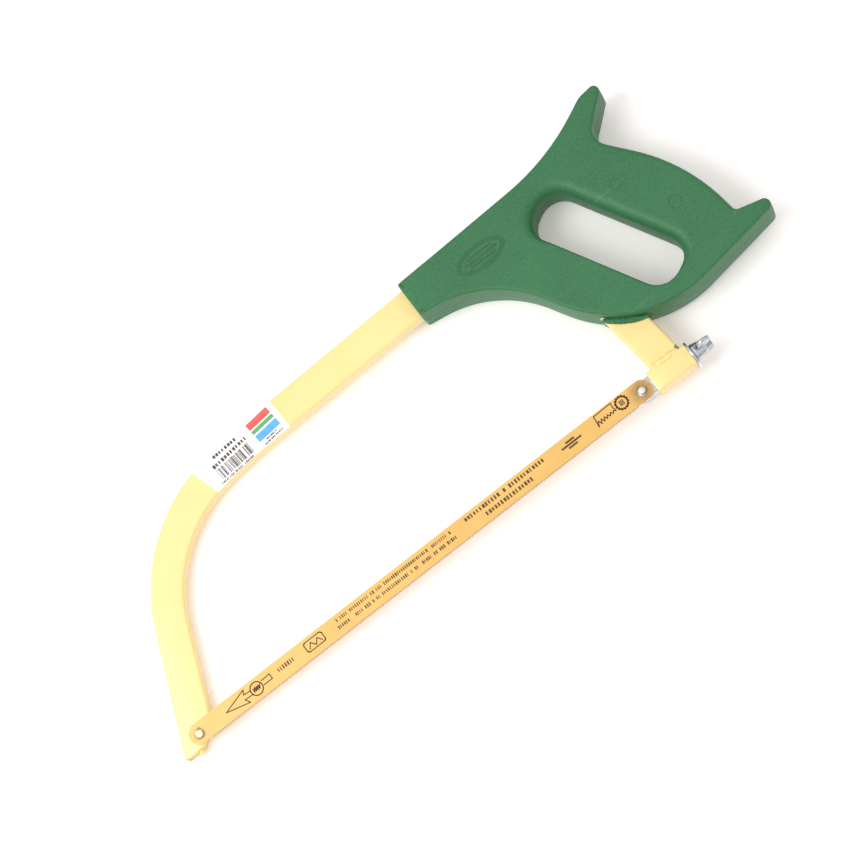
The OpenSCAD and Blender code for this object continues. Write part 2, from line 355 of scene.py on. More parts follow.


# %% [markdown]
# ### Yellow enamel
# The bow is steel tube with a thick stoved enamel. Enamel flows before it sets and keeps a soft
# orange-peel, so the bump is broad and shallow; the paint film is thinner, and the colour deeper, in
# patches. Two dark spots that fade with distance are painted shade: one round the foot of the front pin,
# seen through the gap of the blade's hole, and one in the crevice where the near weld ends.

# %% Yellow enamel
yellow_enamel, tree, shader, surface = finish(
    "yellow_enamel", 420, 30, 0.06, 0.35, Coat_Weight=0.35, Coat_Roughness=0.18)
wear = use_group(tree, wear_group, Start=0.54, End=0.66)
scuffs = use_group(tree, scuff_group, Strokes_per_metre=70, Amount=0.22)
paint = blend_colours(tree, surface.outputs["Patches"], (0.90, 0.69, 0.275), (0.92, 0.725, 0.305))
paint = blend_colours(tree, maths(tree, "MULTIPLY", wear.outputs["Mask"], 0.5), paint, (0.90, 0.58, 0.16))
paint = blend_colours(tree, scuffs.outputs["Mask"], paint, (0.62, 0.47, 0.22))
place = object_place(tree)
# Painted shade: dark spots in the gap round the front pin and in the crevice where the near weld ends.
pin_foot, weld_notch = at(0, 0, tube_high.z), at(330.2, 7.6, tube_high.z)
for spot, reach, most in ((pin_foot, 3.4, 0.85), (weld_notch, 2.2, 0.9)):
    painted_shade = remap(tree, distance_from(tree, place, spot), 0.6 * reach * MM, reach * MM, most, 0.0)
    paint = blend_colours(tree, painted_shade, paint, (0.16, 0.11, 0.03))
tree.links.new(paint, shader.inputs["Base Color"])
tree.links.new(remap(tree, surface.outputs["Patches"], 0, 1, 0.30, 0.42), shader.inputs["Roughness"])

# %% [markdown]
# ### Enamel on the front pin
# The enamel on the front pin is a paler yellow than the bow's, and its coat duller.

# %% Pin enamel
pin_enamel, tree, shader, surface = finish(
    "pin_enamel", 900, 200, 0.03, 0.4, Coat_Weight=0.2, Coat_Roughness=0.3)
# The front pin's enamel is a paler yellow than the bow's.
pale_pin_paint = blend_colours(tree, surface.outputs["Patches"], (0.90, 0.74, 0.40), (0.93, 0.84, 0.60))
tree.links.new(pale_pin_paint, shader.inputs["Base Color"])

# %% [markdown]
# ### Green plastic
# The grip is moulded in a satin thermoplastic. The mould was spark-eroded, which leaves a fine even grain,
# and handling has left a few pale scuffs and slightly polished edges. The pigment is mixed in unevenly,
# which mottles the green: a fine noise and the broad patches are added up and blend two greens.

# %% Green plastic
green_plastic, tree, shader, surface = finish("green_plastic", 2600, 26, 0.05, 0.5, Specular_IOR_Level=0.42)
wear = use_group(tree, wear_group, Start=0.53, End=0.64)
scuffs = use_group(tree, scuff_group, Strokes_per_metre=60, Amount=0.15)
place = object_place(tree)
pigment = noise_at(tree, place, 900.0)
mottle = maths(tree, "ADD", maths(tree, "MULTIPLY", surface.outputs["Patches"], 0.4),
                 remap(tree, pigment, 0.36, 0.64, 0, 0.6))
colour = blend_colours(tree, mottle, (0.019, 0.130, 0.047), (0.039, 0.188, 0.073))
colour = blend_colours(tree, maths(tree, "MULTIPLY", wear.outputs["Mask"], 0.45), colour, (0.13, 0.33, 0.18))
colour = blend_colours(tree, scuffs.outputs["Mask"], colour, (0.22, 0.42, 0.27))
tree.links.new(colour, shader.inputs["Base Color"])
rough = maths(tree, "ADD", remap(tree, surface.outputs["Patches"], 0, 1, 0.44, 0.54),
                maths(tree, "MULTIPLY", wear.outputs["Mask"], -0.12))
tree.links.new(rough, shader.inputs["Roughness"])

# %% [markdown]
# ### Amber blade lacquer
# A hardened blade is rolled strip, wiped with a thin amber lacquer. The rolling lines run along it, so its
# grain is stretched along X. The lacquer is ground off where the teeth are cut, and the bare steel there
# has gone grey-brown: that band follows the blade's own width, measured from the datum. Round both holes
# the lacquer is darker, with a ragged edge.

# %% Amber blade lacquer
blade_lacquer, tree, shader, surface = finish(
    "blade_lacquer", 1800, 55, 0.03, 0.4, stretch=0.05, Coat_Weight=0.2, Coat_Roughness=0.25, Metallic=0.1)
scuffs = use_group(tree, scuff_group, Strokes_per_metre=80, Amount=0.45)
tooth_band_low, tooth_band_high = DATUM.y - 6.0 * MM, DATUM.y - 5.2 * MM
place = object_place(tree)
across = add(tree, "ShaderNodeSeparateXYZ", {"Vector": place}).outputs["Y"]
speckle = noise_at(tree, place, 700.0, 4.0)
amber = blend_colours(tree, surface.outputs["Patches"], (0.72, 0.43, 0.105), (0.77, 0.48, 0.13))
amber = blend_colours(tree, remap(tree, speckle, 0.66, 0.76, 0, 0.5), amber, (0.55, 0.33, 0.09))
amber = blend_colours(tree, scuffs.outputs["Mask"], amber, (0.62, 0.44, 0.20))
amber = blend_colours(tree, remap(tree, across, tooth_band_high, tooth_band_low), amber, (0.30, 0.22, 0.13))
blotches = noise_at(tree, place, 380.0, 5.0)
# Round both holes the lacquer is darker, with a ragged edge.
for hole, reach, most in ((middle_of("front_blade_pin"), 3.9, 0.8), (middle_of("rear_blade_pin"), 9.5, 0.75)):
    centre = (hole.x, hole.y, node_top("blade"))
    unevenness = remap(tree, blotches, 0.3, 0.7, -1.0 * MM, 1.0 * MM)
    ragged = maths(tree, "ADD", distance_from(tree, place, centre), unevenness)
    darker_round_holes = remap(tree, ragged, 2.4 * MM, reach * MM, most, 0.0)
    amber = blend_colours(tree, darker_round_holes, amber, (0.22, 0.13, 0.06))
tree.links.new(amber, shader.inputs["Base Color"])
tree.links.new(remap(tree, surface.outputs["Height"], 0.3, 0.7, 0.30, 0.46), shader.inputs["Roughness"])

# %% [markdown]
# ### Zinc plate, screw steel, paper and inks
# Bright zinc is bluish and blotchy, because its passivation dries unevenly; screw steel is darker, and the
# rear pin's bare steel is warmer and duller than either. The label is coated paper, and its inks and the
# blade's ink lie on top in a thin dry film.

# %% Metals
def metal(name, dark, light, rough_low, rough_high, grain, patches):
    material, tree, shader, surface = finish(name, grain, patches, 0.04, 0.4, Metallic=1.0)
    wear = use_group(tree, wear_group, Start=0.52, End=0.62)
    colour = blend_colours(tree, surface.outputs["Patches"], dark, light)
    colour = blend_colours(tree, wear.outputs["Mask"], colour, (0.92, 0.93, 0.94))
    tree.links.new(colour, shader.inputs["Base Color"])
    roughness = remap(tree, surface.outputs["Patches"], 0, 1, rough_low, rough_high)
    tree.links.new(roughness, shader.inputs["Roughness"])
    return material


pin_steel = metal("pin_steel", (0.62, 0.60, 0.57), (0.76, 0.74, 0.71), 0.42, 0.55, 1200, 260)
zinc_plate = metal("zinc_plate", (0.42, 0.46, 0.51), (0.74, 0.77, 0.81), 0.18, 0.36, 900, 260)
screw_steel = metal("screw_steel", (0.40, 0.41, 0.43), (0.56, 0.56, 0.57), 0.28, 0.40, 1400, 300)


# %% Paper and inks
def film(name, thin, thick, roughness):
    """A dry film whose colour is uneven: thin where the surface below shows through, thick elsewhere."""
    material, tree, shader, surface = finish(name, 2200, 500, 0.01, 0.3, Roughness=roughness)
    colour = blend_colours(tree, surface.outputs["Patches"], thin, thick)
    tree.links.new(colour, shader.inputs["Base Color"])
    return material


label_paper = film("label_paper", (0.93, 0.93, 0.925), (0.97, 0.97, 0.97), 0.42)
brown_ink = film("brown_ink", (0.13, 0.06, 0.018), (0.06, 0.028, 0.012), 0.5)
black_ink = film("black_ink", (0.10, 0.09, 0.085), (0.045, 0.04, 0.04), 0.5)
red_ink = film("red_ink", (0.85, 0.13, 0.10), (0.80, 0.08, 0.07), 0.45)
green_ink = film("green_ink", (0.12, 0.44, 0.16), (0.08, 0.36, 0.12), 0.45)
blue_ink = film("blue_ink", (0.12, 0.45, 0.85), (0.08, 0.36, 0.78), 0.45)
print("finishes:", [material.name for material in bpy.data.materials])

# %% [markdown]
# ## Shape helpers
# Most pieces here start as a flat outline, as they would on sheet metal: a list of corners, each with the
# radius that rounds it. `slab` gives outlines a thickness through a stack of rings, each one drawn in by
# some amount at some height, which is how a draft angle, a chamfer or a moulded radius is made.

# %% Outlines
def corner_arc(before, corner, after, radius, step=4.0):
    to_before, to_after = (before - corner).normalized(), (after - corner).normalized()
    half = to_before.angle(to_after) / 2
    centre = corner + (to_before + to_after).normalized() * radius / math.sin(half)
    start = corner + to_before * radius / math.tan(half) - centre
    end = corner + to_after * radius / math.tan(half) - centre
    turn = math.atan2(start.cross(end), start.dot(end))
    count = max(2, math.ceil(abs(math.degrees(turn)) / step))
    return [centre + Matrix.Rotation(turn * i / count, 2) @ start for i in range(count + 1)]


def rounded(corners, step=4.0):
    places = [Vector(p) for p, _ in corners]
    points = []
    for i, (_, radius) in enumerate(corners):
        points += corner_arc(places[i - 1], places[i], places[(i + 1) % len(places)], radius, step)
    return points


def spread(points, longest=5.0, closed=True):
    """The same outline, with no stretch between points longer than this."""
    finer = []
    for i, point in enumerate(points):
        after = points[(i + 1) % len(points)]
        count = max(1, math.ceil((after - point).length / longest)) if closed or i + 1 < len(points) else 1
        finer += [point.lerp(after, k / count) for k in range(count)]
    return finer


def circle(centre, radius, count=32, clockwise=False):
    sign = -1 if clockwise else 1
    return [Vector(centre) + Vector((math.cos(sign * math.tau * i / count),
                                     math.sin(sign * math.tau * i / count))) * radius for i in range(count)]


def outward(points):
    """Unit normals that point out of the material, for a loop with the material on its left."""
    normals = []
    for i, point in enumerate(points):
        along = (points[(i + 1) % len(points)] - point).normalized() + (point - points[i - 1]).normalized()
        normals.append(Vector((along.y, -along.x)).normalized())
    return normals


def ring_faces(first, second, count):
    """The quads between two rings of count points, given the number of each ring's first point."""
    return [(first + i, first + (i + 1) % count, second + (i + 1) % count, second + i) for i in range(count)]


def chain(count):
    """The edges that join count points in a row."""
    return [(i, i + 1) for i in range(count - 1)]


# %% Making an object
def settle(piece, material, crisp=32):
    """Merges doubles, turns faces outwards, shades smooth with crisp edges, and gives one finish."""
    mesh = piece.data
    work = bmesh.new()
    work.from_mesh(mesh)
    bmesh.ops.remove_doubles(work, verts=work.verts, dist=0.001 * MM)
    bmesh.ops.recalc_face_normals(work, faces=work.faces)
    work.to_mesh(mesh)
    work.free()
    mesh.materials.clear()
    mesh.materials.append(material)
    mesh.polygons.foreach_set("material_index", [0] * len(mesh.polygons))
    mesh.shade_smooth()
    mesh.set_sharp_from_angle(angle=math.radians(crisp))
    return piece


def new_object(name, points, faces=(), edges=()):
    """An object whose mesh has these points, in millimetres from the datum."""
    mesh = bpy.data.meshes.new(name)
    mesh.from_pydata([at(*p) for p in points], list(edges), list(faces))
    piece = bpy.data.objects.new(name, mesh)
    scene.collection.objects.link(piece)
    return piece


def applied(piece):
    """Turns the piece's modifiers into its plain mesh."""
    bpy.context.view_layer.update()
    made = bpy.data.meshes.new_from_object(piece.evaluated_get(bpy.context.evaluated_depsgraph_get()))
    piece.modifiers.clear()
    piece.data = made
    return piece


def cut(piece, *tools):
    """Takes each tool's solid out of the piece, and removes the tool."""
    for tool in tools:
        knife = piece.modifiers.new("cut", "BOOLEAN")
        knife.object = tool
        knife.solver = "EXACT"
        applied(piece)
        bpy.data.objects.remove(tool)
    return piece


def join_meshes(piece, *others):
    """Adds the others' meshes to the piece's, and removes the others."""
    work = bmesh.new()
    for one in (piece, *others):
        work.from_mesh(one.data)
    work.to_mesh(piece.data)
    work.free()
    for one in others:
        bpy.data.objects.remove(one)
    return piece


# %% Slab and lathe
def slab(name, walls, material, crisp=32, pits=()):
    """walls is a list of (loop, rings), each ring (inset, z), where both are a number or one number a point.
    The first and last rings are closed with a flat face. pits are the same, open on the last ring's side."""
    points, faces, ends = [], [], ([], [])
    for loop, rings in [*walls, *pits]:
        normals, count, first = outward(loop), len(loop), len(points)
        for inset, z in rings:
            insets, heights = (v if hasattr(v, "__len__") else [v] * count for v in (inset, z))
            points += [(*(p - n * d), h) for p, n, d, h in zip(loop, normals, insets, heights)]
        for k in range(len(rings) - 1):
            a, b = first + k * count, first + (k + 1) * count
            faces += ring_faces(a, b, count)
        last = first + (len(rings) - 1) * count
        if (loop, rings) in pits:
            faces.append(tuple(first + i for i in range(count)))
        else:
            ends[0].append((first, count))
        ends[1].append((last, count))
    piece = new_object(name, points, faces)
    work = bmesh.new()
    work.from_mesh(piece.data)
    work.verts.ensure_lookup_table()
    for loops in ends:
        rim = [work.edges.get((work.verts[s + i], work.verts[s + (i + 1) % n]))
               for s, n in loops for i in range(n)]
        bmesh.ops.triangle_fill(work, use_beauty=True, use_dissolve=False, edges=rim)
    work.to_mesh(piece.data)
    work.free()
    return settle(piece, material, crisp)


def lathe(name, profile, centre, axis, material, count=48, crisp=32):
    """Spins (radius, distance along the axis) points; a radius of 0 closes the end."""
    way = Vector(axis).normalized()
    side = way.orthogonal().normalized()
    other = way.cross(side)
    points, faces = [], []
    for radius, along in profile:
        points += [Vector(centre) + way * along + (side * math.cos(math.tau * i / count)
                                                   + other * math.sin(math.tau * i / count)) * radius
                   for i in range(count)]
    rows = len(profile)
    for k in range(rows if profile[0][0] > 0 else rows - 1):
        a, b = k * count, (k + 1) % rows * count
        faces += ring_faces(a, b, count)
    return settle(new_object(name, points, faces), material, crisp)


def quarter(radius, count=5):
    """The (inset, drop) steps of a rounded edge, from the wall to the flat."""
    turns = [math.pi / 2 * i / count for i in range(count + 1)]
    return [(radius * (1 - math.cos(turn)), radius * (1 - math.sin(turn))) for turn in turns]


# %% [markdown]
# ## Geometry Nodes helpers
# What repeats or follows a path is made by a node tree, with its sizes as named inputs. `grow` runs such a
# tree on a small starting mesh, and keeps only the plain mesh that comes out of it.

# %% Geometry Nodes helpers
def start_tree(name, sizes):
    """A geometry tree with named inputs, given as name: (socket type, default)."""
    tree = bpy.data.node_groups.new(name, "GeometryNodeTree")
    tree.interface.new_socket("Geometry", in_out="INPUT", socket_type="NodeSocketGeometry")
    for label, (kind, value) in {**sizes, "Finish": ("NodeSocketMaterial", None)}.items():
        socket = tree.interface.new_socket(label, in_out="INPUT", socket_type=kind)
        if value is not None:
            socket.default_value = value
    tree.interface.new_socket("Geometry", in_out="OUTPUT", socket_type="NodeSocketGeometry")
    return tree, tree.nodes.new("NodeGroupInput").outputs


def end_tree(tree, given, geometry):
    """Every tree ends the same way: real geometry, with its finish set."""
    real = add(tree, "GeometryNodeRealizeInstances", {"Geometry": geometry}).outputs["Geometry"]
    done = add(tree, "GeometryNodeSetMaterial", {"Geometry": real, "Material": given["Finish"]})
    tree.links.new(done.outputs["Geometry"], tree.nodes.new("NodeGroupOutput").inputs["Geometry"])
    print("tree", tree.name, "has", len(tree.nodes), "nodes")


def grow(piece, tree, material, crisp=32, **sizes):
    modifier = piece.modifiers.new(tree.name, "NODES")
    modifier.node_group = tree
    names = {s.name: s.identifier for s in tree.interface.items_tree
             if s.item_type == "SOCKET" and s.in_out == "INPUT"}
    for label, value in {**sizes, "Finish": material}.items():
        modifier[names[label.replace("_", " ")]] = value
    return settle(applied(piece), material, crisp)


# %% [markdown]
# ## The bow
# The frame is one length of rectangular steel tube, bent on edge at four places. It follows a rule, a
# section pushed along a bent line, so Geometry Nodes suit it: the corners of the route are the starting
# mesh, each carries its bend radius, and the section is a rectangle with rounded corners. The two ends are
# then mitred by sliding the end rings along the tube, Solidify gives the wall its thickness, and a prism
# cuts off the toe's inner corner.

# %% The bent-tube tree
bent_tree, given = start_tree("Bent_tube", {
    "Width": ("NodeSocketFloat", 0.019), "Thickness": ("NodeSocketFloat", 0.010),
    "Corner": ("NodeSocketFloat", 0.002), "Closed ends": ("NodeSocketBool", False)})
line = add(bent_tree, "GeometryNodeMeshToCurve", {"Mesh": given["Geometry"]}).outputs["Curve"]
bend = add(bent_tree, "GeometryNodeInputNamedAttribute", {"Name": "bend_radius"}, data_type="FLOAT")
bends = {"Curve": line, "Count": 18, "Radius": bend.outputs[0], "Limit Radius": True}
bent = add(bent_tree, "GeometryNodeFilletCurve", bends, mode="POLY").outputs["Curve"]
level = add(bent_tree, "GeometryNodeSetCurveNormal", {"Curve": bent}, mode="Z_UP").outputs["Curve"]
section = add(bent_tree, "GeometryNodeCurvePrimitiveQuadrilateral",
              {"Width": given["Width"], "Height": given["Thickness"]}).outputs["Curve"]
corners = {"Curve": section, "Count": 6, "Radius": given["Corner"], "Limit Radius": True}
section = add(bent_tree, "GeometryNodeFilletCurve", corners, mode="POLY").outputs[0]
swept = add(bent_tree, "GeometryNodeCurveToMesh",
            {"Curve": level, "Profile Curve": section, "Fill Caps": given["Closed ends"]}).outputs["Mesh"]
end_tree(bent_tree, given, swept)

# %% The route of the tube
tube_route = [((-7.2, -13), 0), ((39.6, 102.9), 88), ((103.7, 113.9), 225), ((281.1, 119.7), 38),
              ((316.2, 53.5), 60), ((321.75, 0), 0)]
tube_w, tube_t = 19.0, tube_high.z - tube_low.z
tube_corner, tube_wall = 1.5, 1.2
toe_y, weld_y = tube_low.y, sleeve_high.y


def bent_tube(name, grow_by, closed, material):
    piece = new_object(name, [(*p, 0) for p, _ in tube_route], edges=chain(len(tube_route)))
    radii = piece.data.attributes.new("bend_radius", "FLOAT", "POINT")
    radii.data.foreach_set("value", [radius * MM for _, radius in tube_route])
    return grow(piece, bent_tree, material, Width=(tube_w + grow_by) * MM, Thickness=(tube_t + grow_by) * MM,
                Corner=(tube_corner + grow_by / 2) * MM, Closed_ends=closed)


def mitre(piece, end, before, level_y):
    """Slides the ring at an end of the tube along the tube, to a plane of that y."""
    end, way = Vector(end), (Vector(end) - Vector(before)).normalized()
    for vertex in piece.data.vertices:
        spot = local(vertex.co)
        if abs((spot.xy - end).dot(way)) < 0.5:
            slide = (level_y - spot.y) / way.y
            vertex.co = at(spot.x + way.x * slide, level_y, spot.z)


def toe_knife(deeper):
    """A prism that cuts the toe's inner corner off, under the blade."""
    start, end = Vector((-2.8, toe_y)), Vector((10.3, 5.0))
    way = (end - start).normalized()
    out = Vector((way.y, -way.x))
    line = [start - way * 12 - out * deeper, end + way * 12 - out * deeper]
    line += [line[1] + out * 20, line[0] + out * 20]
    corners = [(*p, z) for z in (-20, 20) for p in line]
    return settle(new_object("toe_knife", corners, BOX_FACES), yellow_enamel)


bow = bent_tube("bow_tube", 0.0, False, yellow_enamel)
mitre(bow, tube_route[0][0], tube_route[1][0], toe_y)
mitre(bow, tube_route[-1][0], tube_route[-2][0], weld_y)
wall = bow.modifiers.new("wall", "SOLIDIFY")
wall.thickness = tube_wall * MM
wall.offset = -1
applied(bow)
cut(bow, toe_knife(0.0))
settle(bow, yellow_enamel)
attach(bow, "frame")
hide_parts("frame_tube")
print("bow:", len(bow.data.polygons), "faces")

# %% [markdown]
# ## Grip halves
# The grip is two moulded halves screwed together round the tube. Each is a slab: the outline and the finger
# slot go up through a stack of rings, with a small bevel at the parting face, a slight draft and a rounded
# rim. A moulder gives the slot a broad radius where the hand presses, on its grip side and at its upper
# end, and a small one elsewhere, so the radius changes from point to point round the loop. The tube's
# channel is cut out last.

# %% Outline of the grip
grip_corners = [
    ((231.2, 129.3), 1.6), ((337, 133.2), 130), ((371.5, 150), 12), ((391, 152.2), 3.5), ((361.8, 127.1), 10),
    ((395.7, 83.7), 105), ((399.6, 45.8), 3), ((432, 36.9), 3.9), ((318.2, 19.9), 71), ((273.2, 100.7), 67),
    ((231.2, 107.3), 1.6)]
slot_middle, slot_slant = Vector((336.5, 77)), math.radians(-62)
slot_long, slot_wide, slot_corner = 86.0, 28.0, 12.5
slot_along = Vector((math.cos(slot_slant), math.sin(slot_slant)))
slot_across = Vector((-slot_along.y, slot_along.x))
grip_loop = spread(list(reversed(rounded(grip_corners, 3))), 4)
slot_loop = spread(list(reversed(rounded(
    [(slot_middle + slot_along * sx * slot_long / 2 + slot_across * sy * slot_wide / 2, slot_corner)
     for sx, sy in RECTANGLE], 5))), 4)
grip_top = grip_high.z


def smooth_step(value, low, high):
    share = min(1.0, max(0.0, (value - low) / (high - low)))
    return share * share * (3 - 2 * share)


def slot_radius(point, normal):
    """Broad on the grip side and at the upper end, small on the bow side."""
    grip_side = smooth_step(-normal.dot(slot_across), -0.35, 0.8)
    upper_end = smooth_step(-(point - slot_middle).dot(slot_along), slot_long * 0.28, slot_long * 0.5)
    return 1.4 + 5.2 * max(grip_side, upper_end)


def rim_radius(point, normal):
    """Smallest at the front end, where the outline's corners are tight, and roundest between the horns."""
    behind_mouth = smooth_step(point.x, 240, 262)
    back = smooth_step(normal.x * 0.88 + normal.y * 0.47, 0.55, 0.95)
    between_horns = smooth_step(point.x, 355, 372) * smooth_step(-abs(point.y - 88), -48, -30)
    return 1.3 + 0.5 * behind_mouth + 1.0 * back * between_horns


def moulded_rings(loop, radius_at, side):
    """From the parting face up the drafted wall, round the rim and a little way onto the flat."""
    draft, parting, flat = 0.25, 0.25, 0.5
    radii = [radius_at(p, n) for p, n in zip(loop, outward(loop))]
    rings = [(parting, 0.0), (0.0, side * parting)]
    for inset, drop in quarter(1.0, 7):
        rings.append(([draft + inset * r for r in radii], [side * (grip_top - drop * r) for r in radii]))
    rings.append(([draft + r + flat for r in radii], side * grip_top))
    return rings


def moulded_half(name, side, pits=()):
    """One half of the grip: side +1 is the near half and -1 the far half."""
    walls = [(grip_loop, moulded_rings(grip_loop, rim_radius, side)),
             (slot_loop, moulded_rings(slot_loop, slot_radius, side))]
    half = slab(name, walls, green_plastic, 40, pits)
    channel = bent_tube("channel", 0.2, True, green_plastic)
    return settle(cut(half, channel), green_plastic, 40)


print("grip outline:", len(grip_loop), "points; slot:", len(slot_loop))

# %% [markdown]
# ### Flash where the leg leaves the grip
# Plastic creeps out between the mould and the steel, so the grip's mouth has a thin ragged lip on the tube.
# It is a lumpy bead along the part of the outline that crosses the leg. Geometry Nodes push a circle along
# that line; its radius swells with each ripple and dies away at both ends, and a noise pushes every point
# about. The same tree makes the welds further down, with other sizes.

# %% The bead tree
bead_tree, given = start_tree("Lumpy_bead", {
    "Radius": ("NodeSocketFloat", 0.0016), "Ripple": ("NodeSocketFloat", 0.0014),
    "Depth": ("NodeSocketFloat", 0.08), "Unevenness": ("NodeSocketFloat", 0.0002),
    "Lumps per metre": ("NodeSocketFloat", 480.0), "Seed": ("NodeSocketFloat", 3.0)})
line = add(bead_tree, "GeometryNodeMeshToCurve", {"Mesh": given["Geometry"]}).outputs["Curve"]
line = add(bead_tree, "GeometryNodeResampleCurve", {"Curve": line, "Count": 72}).outputs["Curve"]
along = add(bead_tree, "GeometryNodeSplineParameter")
ripples = maths(bead_tree, "DIVIDE", along.outputs["Length"], given["Ripple"])
swell = maths(bead_tree, "SINE", maths(bead_tree, "MULTIPLY", ripples, math.tau), 0.0)
swell = maths(bead_tree, "ADD", maths(bead_tree, "MULTIPLY", swell, given["Depth"]), 1.0)
ends = maths(bead_tree, "SINE", maths(bead_tree, "MULTIPLY", along.outputs["Factor"], math.pi), 0.0)
ends = maths(bead_tree, "POWER", maths(bead_tree, "MAXIMUM", ends, 0.01), 0.3)
radius = maths(bead_tree, "MULTIPLY", maths(bead_tree, "MULTIPLY", swell, ends), given["Radius"])
line = add(bead_tree, "GeometryNodeSetCurveRadius", {"Curve": line, "Radius": radius}).outputs["Curve"]
ring = add(bead_tree, "GeometryNodeCurvePrimitiveCircle", {"Resolution": 16, "Radius": 1.0}, mode="RADIUS")
ring = ring.outputs["Curve"]
sweep = add(bead_tree, "GeometryNodeCurveToMesh", {"Curve": line, "Profile Curve": ring, "Fill Caps": True})
if "Scale" in sweep.inputs:
    bead_tree.links.new(radius, sweep.inputs["Scale"])
spot = add(bead_tree, "GeometryNodeInputPosition").outputs[0]
lumps = add(bead_tree, "ShaderNodeTexNoise",
            {"Vector": spot, "W": given["Seed"], "Scale": given["Lumps per metre"], "Detail": 2.0},
            noise_dimensions="4D").outputs["Color"]
push = add(bead_tree, "ShaderNodeVectorMath", {0: lumps, 1: (0.5, 0.5, 0.5)}, operation="SUBTRACT").outputs[0]
push = add(bead_tree, "ShaderNodeVectorMath", {0: push, "Scale": given["Unevenness"]},
           operation="SCALE").outputs[0]
lumpy = add(bead_tree, "GeometryNodeSetPosition", {"Geometry": sweep.outputs["Mesh"], "Offset": push})
end_tree(bead_tree, given, lumpy.outputs["Geometry"])

# %% The flash
leg_end, leg_top = Vector(tube_route[-1][0]), Vector(tube_route[-2][0])
leg_run = (leg_end - leg_top).normalized()


def off_leg(point):
    """How far a place is from the rear leg's centreline, along the blade."""
    return (point - leg_top).cross(leg_run)


lip_stands_off, lip_reaches_past = 1.2, 0.6
mouth = [p + n * lip_stands_off for p, n in zip(grip_loop, outward(grip_loop))
         if 10 < p.y < 75 and p.x < 345 and abs(off_leg(p)) < 60]
fine_mouth = spread(mouth, 1.0, closed=False)
fine_mouth = [p for p in fine_mouth if abs(off_leg(p)) < tube_w / 2 + lip_reaches_past]
print("flash runs from", fine_mouth[0], "to", fine_mouth[-1], len(fine_mouth))
flashes = []
for side in (1, -1):
    lip_line = [(*p, side * (tube_t / 2 - 0.1)) for p in fine_mouth]
    lip = new_object(f"flash_{side}", lip_line, edges=chain(len(fine_mouth)))
    flashes.append(grow(lip, bead_tree, green_plastic, 60, Radius=2.2 * MM, Ripple=1.3 * MM, Depth=0.10,
                        Unevenness=1.1 * MM, Lumps_per_metre=600, Seed=5.0 + side))
flash = join_meshes(*flashes)
flash.name = "grip_flash"
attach(flash, "frame")

# %% [markdown]
# ## Screws and their pits
# Six identical screws hold the halves together from the far side. Their places come from the frame: the six
# separate solids of the node are found by grouping its vertices. The head is a lathe shape with a cross cut
# into it, made once; Geometry Nodes then put a copy at each place.

# %% Places of the screws
def island_centres(node, apart=8.0):
    """Where each separate solid of a node stands, in x and y."""
    groups = []
    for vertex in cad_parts[node].data.vertices:
        spot = local(vertex.co).xy
        near = next((g for g in groups if (g[0] - spot).length < apart), None)
        if near is None:
            groups.append([spot])
        else:
            near.append(spot)
    return [(Vector(map(min, zip(*g))) + Vector(map(max, zip(*g)))) / 2 for g in groups]


screw_low = node_span("handle_screws")[0]
screw_places = sorted(island_centres("handle_screws"), key=lambda p: p.x)
pit_radius, pit_floor = 4.1, -10.0
pits = [(circle(p, pit_radius, 32, clockwise=True),
         [(0.0, pit_floor), (0.0, -grip_top + 0.3), (-0.1, -grip_top + 0.08), (-0.35, -grip_top)])
        for p in screw_places]
print("screws at", [tuple(round(v, 1) for v in p) for p in screw_places])

# %% The two halves
grip_near = moulded_half("grip_near_half", 1)
grip_far = moulded_half("grip_far_half", -1, pits)
for half, node in ((grip_near, "handle_near_shell"), (grip_far, "handle_far_shell")):
    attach(half, "frame")
    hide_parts(node)
    print(half.name, len(half.data.polygons), "faces")

# %% One screw
screw_head_r, screw_shaft_r, head_high = 3.7, 1.6, 2.6
screw_profile = [(0, 0), (2.6, 0.0), (3.2, 0.18), (3.55, 0.6), (screw_head_r, 1.2), (screw_head_r, head_high),
                 (screw_shaft_r, head_high), (screw_shaft_r, 21.4), (0.4, 23.0), (0, 23.1)]
screw = lathe("screw", screw_profile, (0, 0, 0), (0, 0, 1), screw_steel, 32)
for quarter_turn in (0, 1):
    long_half, short_half = (2.0, 0.42) if quarter_turn else (0.42, 2.0)
    corners = [(sx * long_half, sy * short_half, z) for z in (-1, 1.3) for sx, sy in RECTANGLE]
    cut(screw, settle(new_object("driver", corners, BOX_FACES), screw_steel))
settle(screw, screw_steel, 30)
screw.data.transform(Matrix.Translation(-DATUM))
print("one screw:", len(screw.data.polygons), "faces")

# %% Copies of a piece at given places
copies_tree, given = start_tree("Copies_at_places", {"Copied": ("NodeSocketObject", None)})
places = add(copies_tree, "GeometryNodeMeshToPoints", {"Mesh": given["Geometry"]}).outputs["Points"]
copied = add(copies_tree, "GeometryNodeObjectInfo", {"Object": given["Copied"]}).outputs["Geometry"]
copies = add(copies_tree, "GeometryNodeInstanceOnPoints", {"Points": places, "Instance": copied})
end_tree(copies_tree, given, copies.outputs["Instances"])

screws = new_object("grip_screws", [(*p, screw_low.z) for p in screw_places])
grow(screws, copies_tree, screw_steel, 30, Copied=screw)
bpy.data.objects.remove(screw)
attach(screws, "frame")
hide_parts("handle_screws")
print("screws:", len(screws.data.polygons), "faces")

# %% [markdown]
# ## Marks moulded in the near half
# A gate ring and an ejector ring stand a hair proud of the face, and a plain oval pad with three ribs fills
# the place where a maker would put a badge. Each is a thin raised band with rounded shoulders. They get a
# slightly darker and more matt green than the grip: the darker green is painted shade, with a little dust,
# so that such low relief still reads as marks.

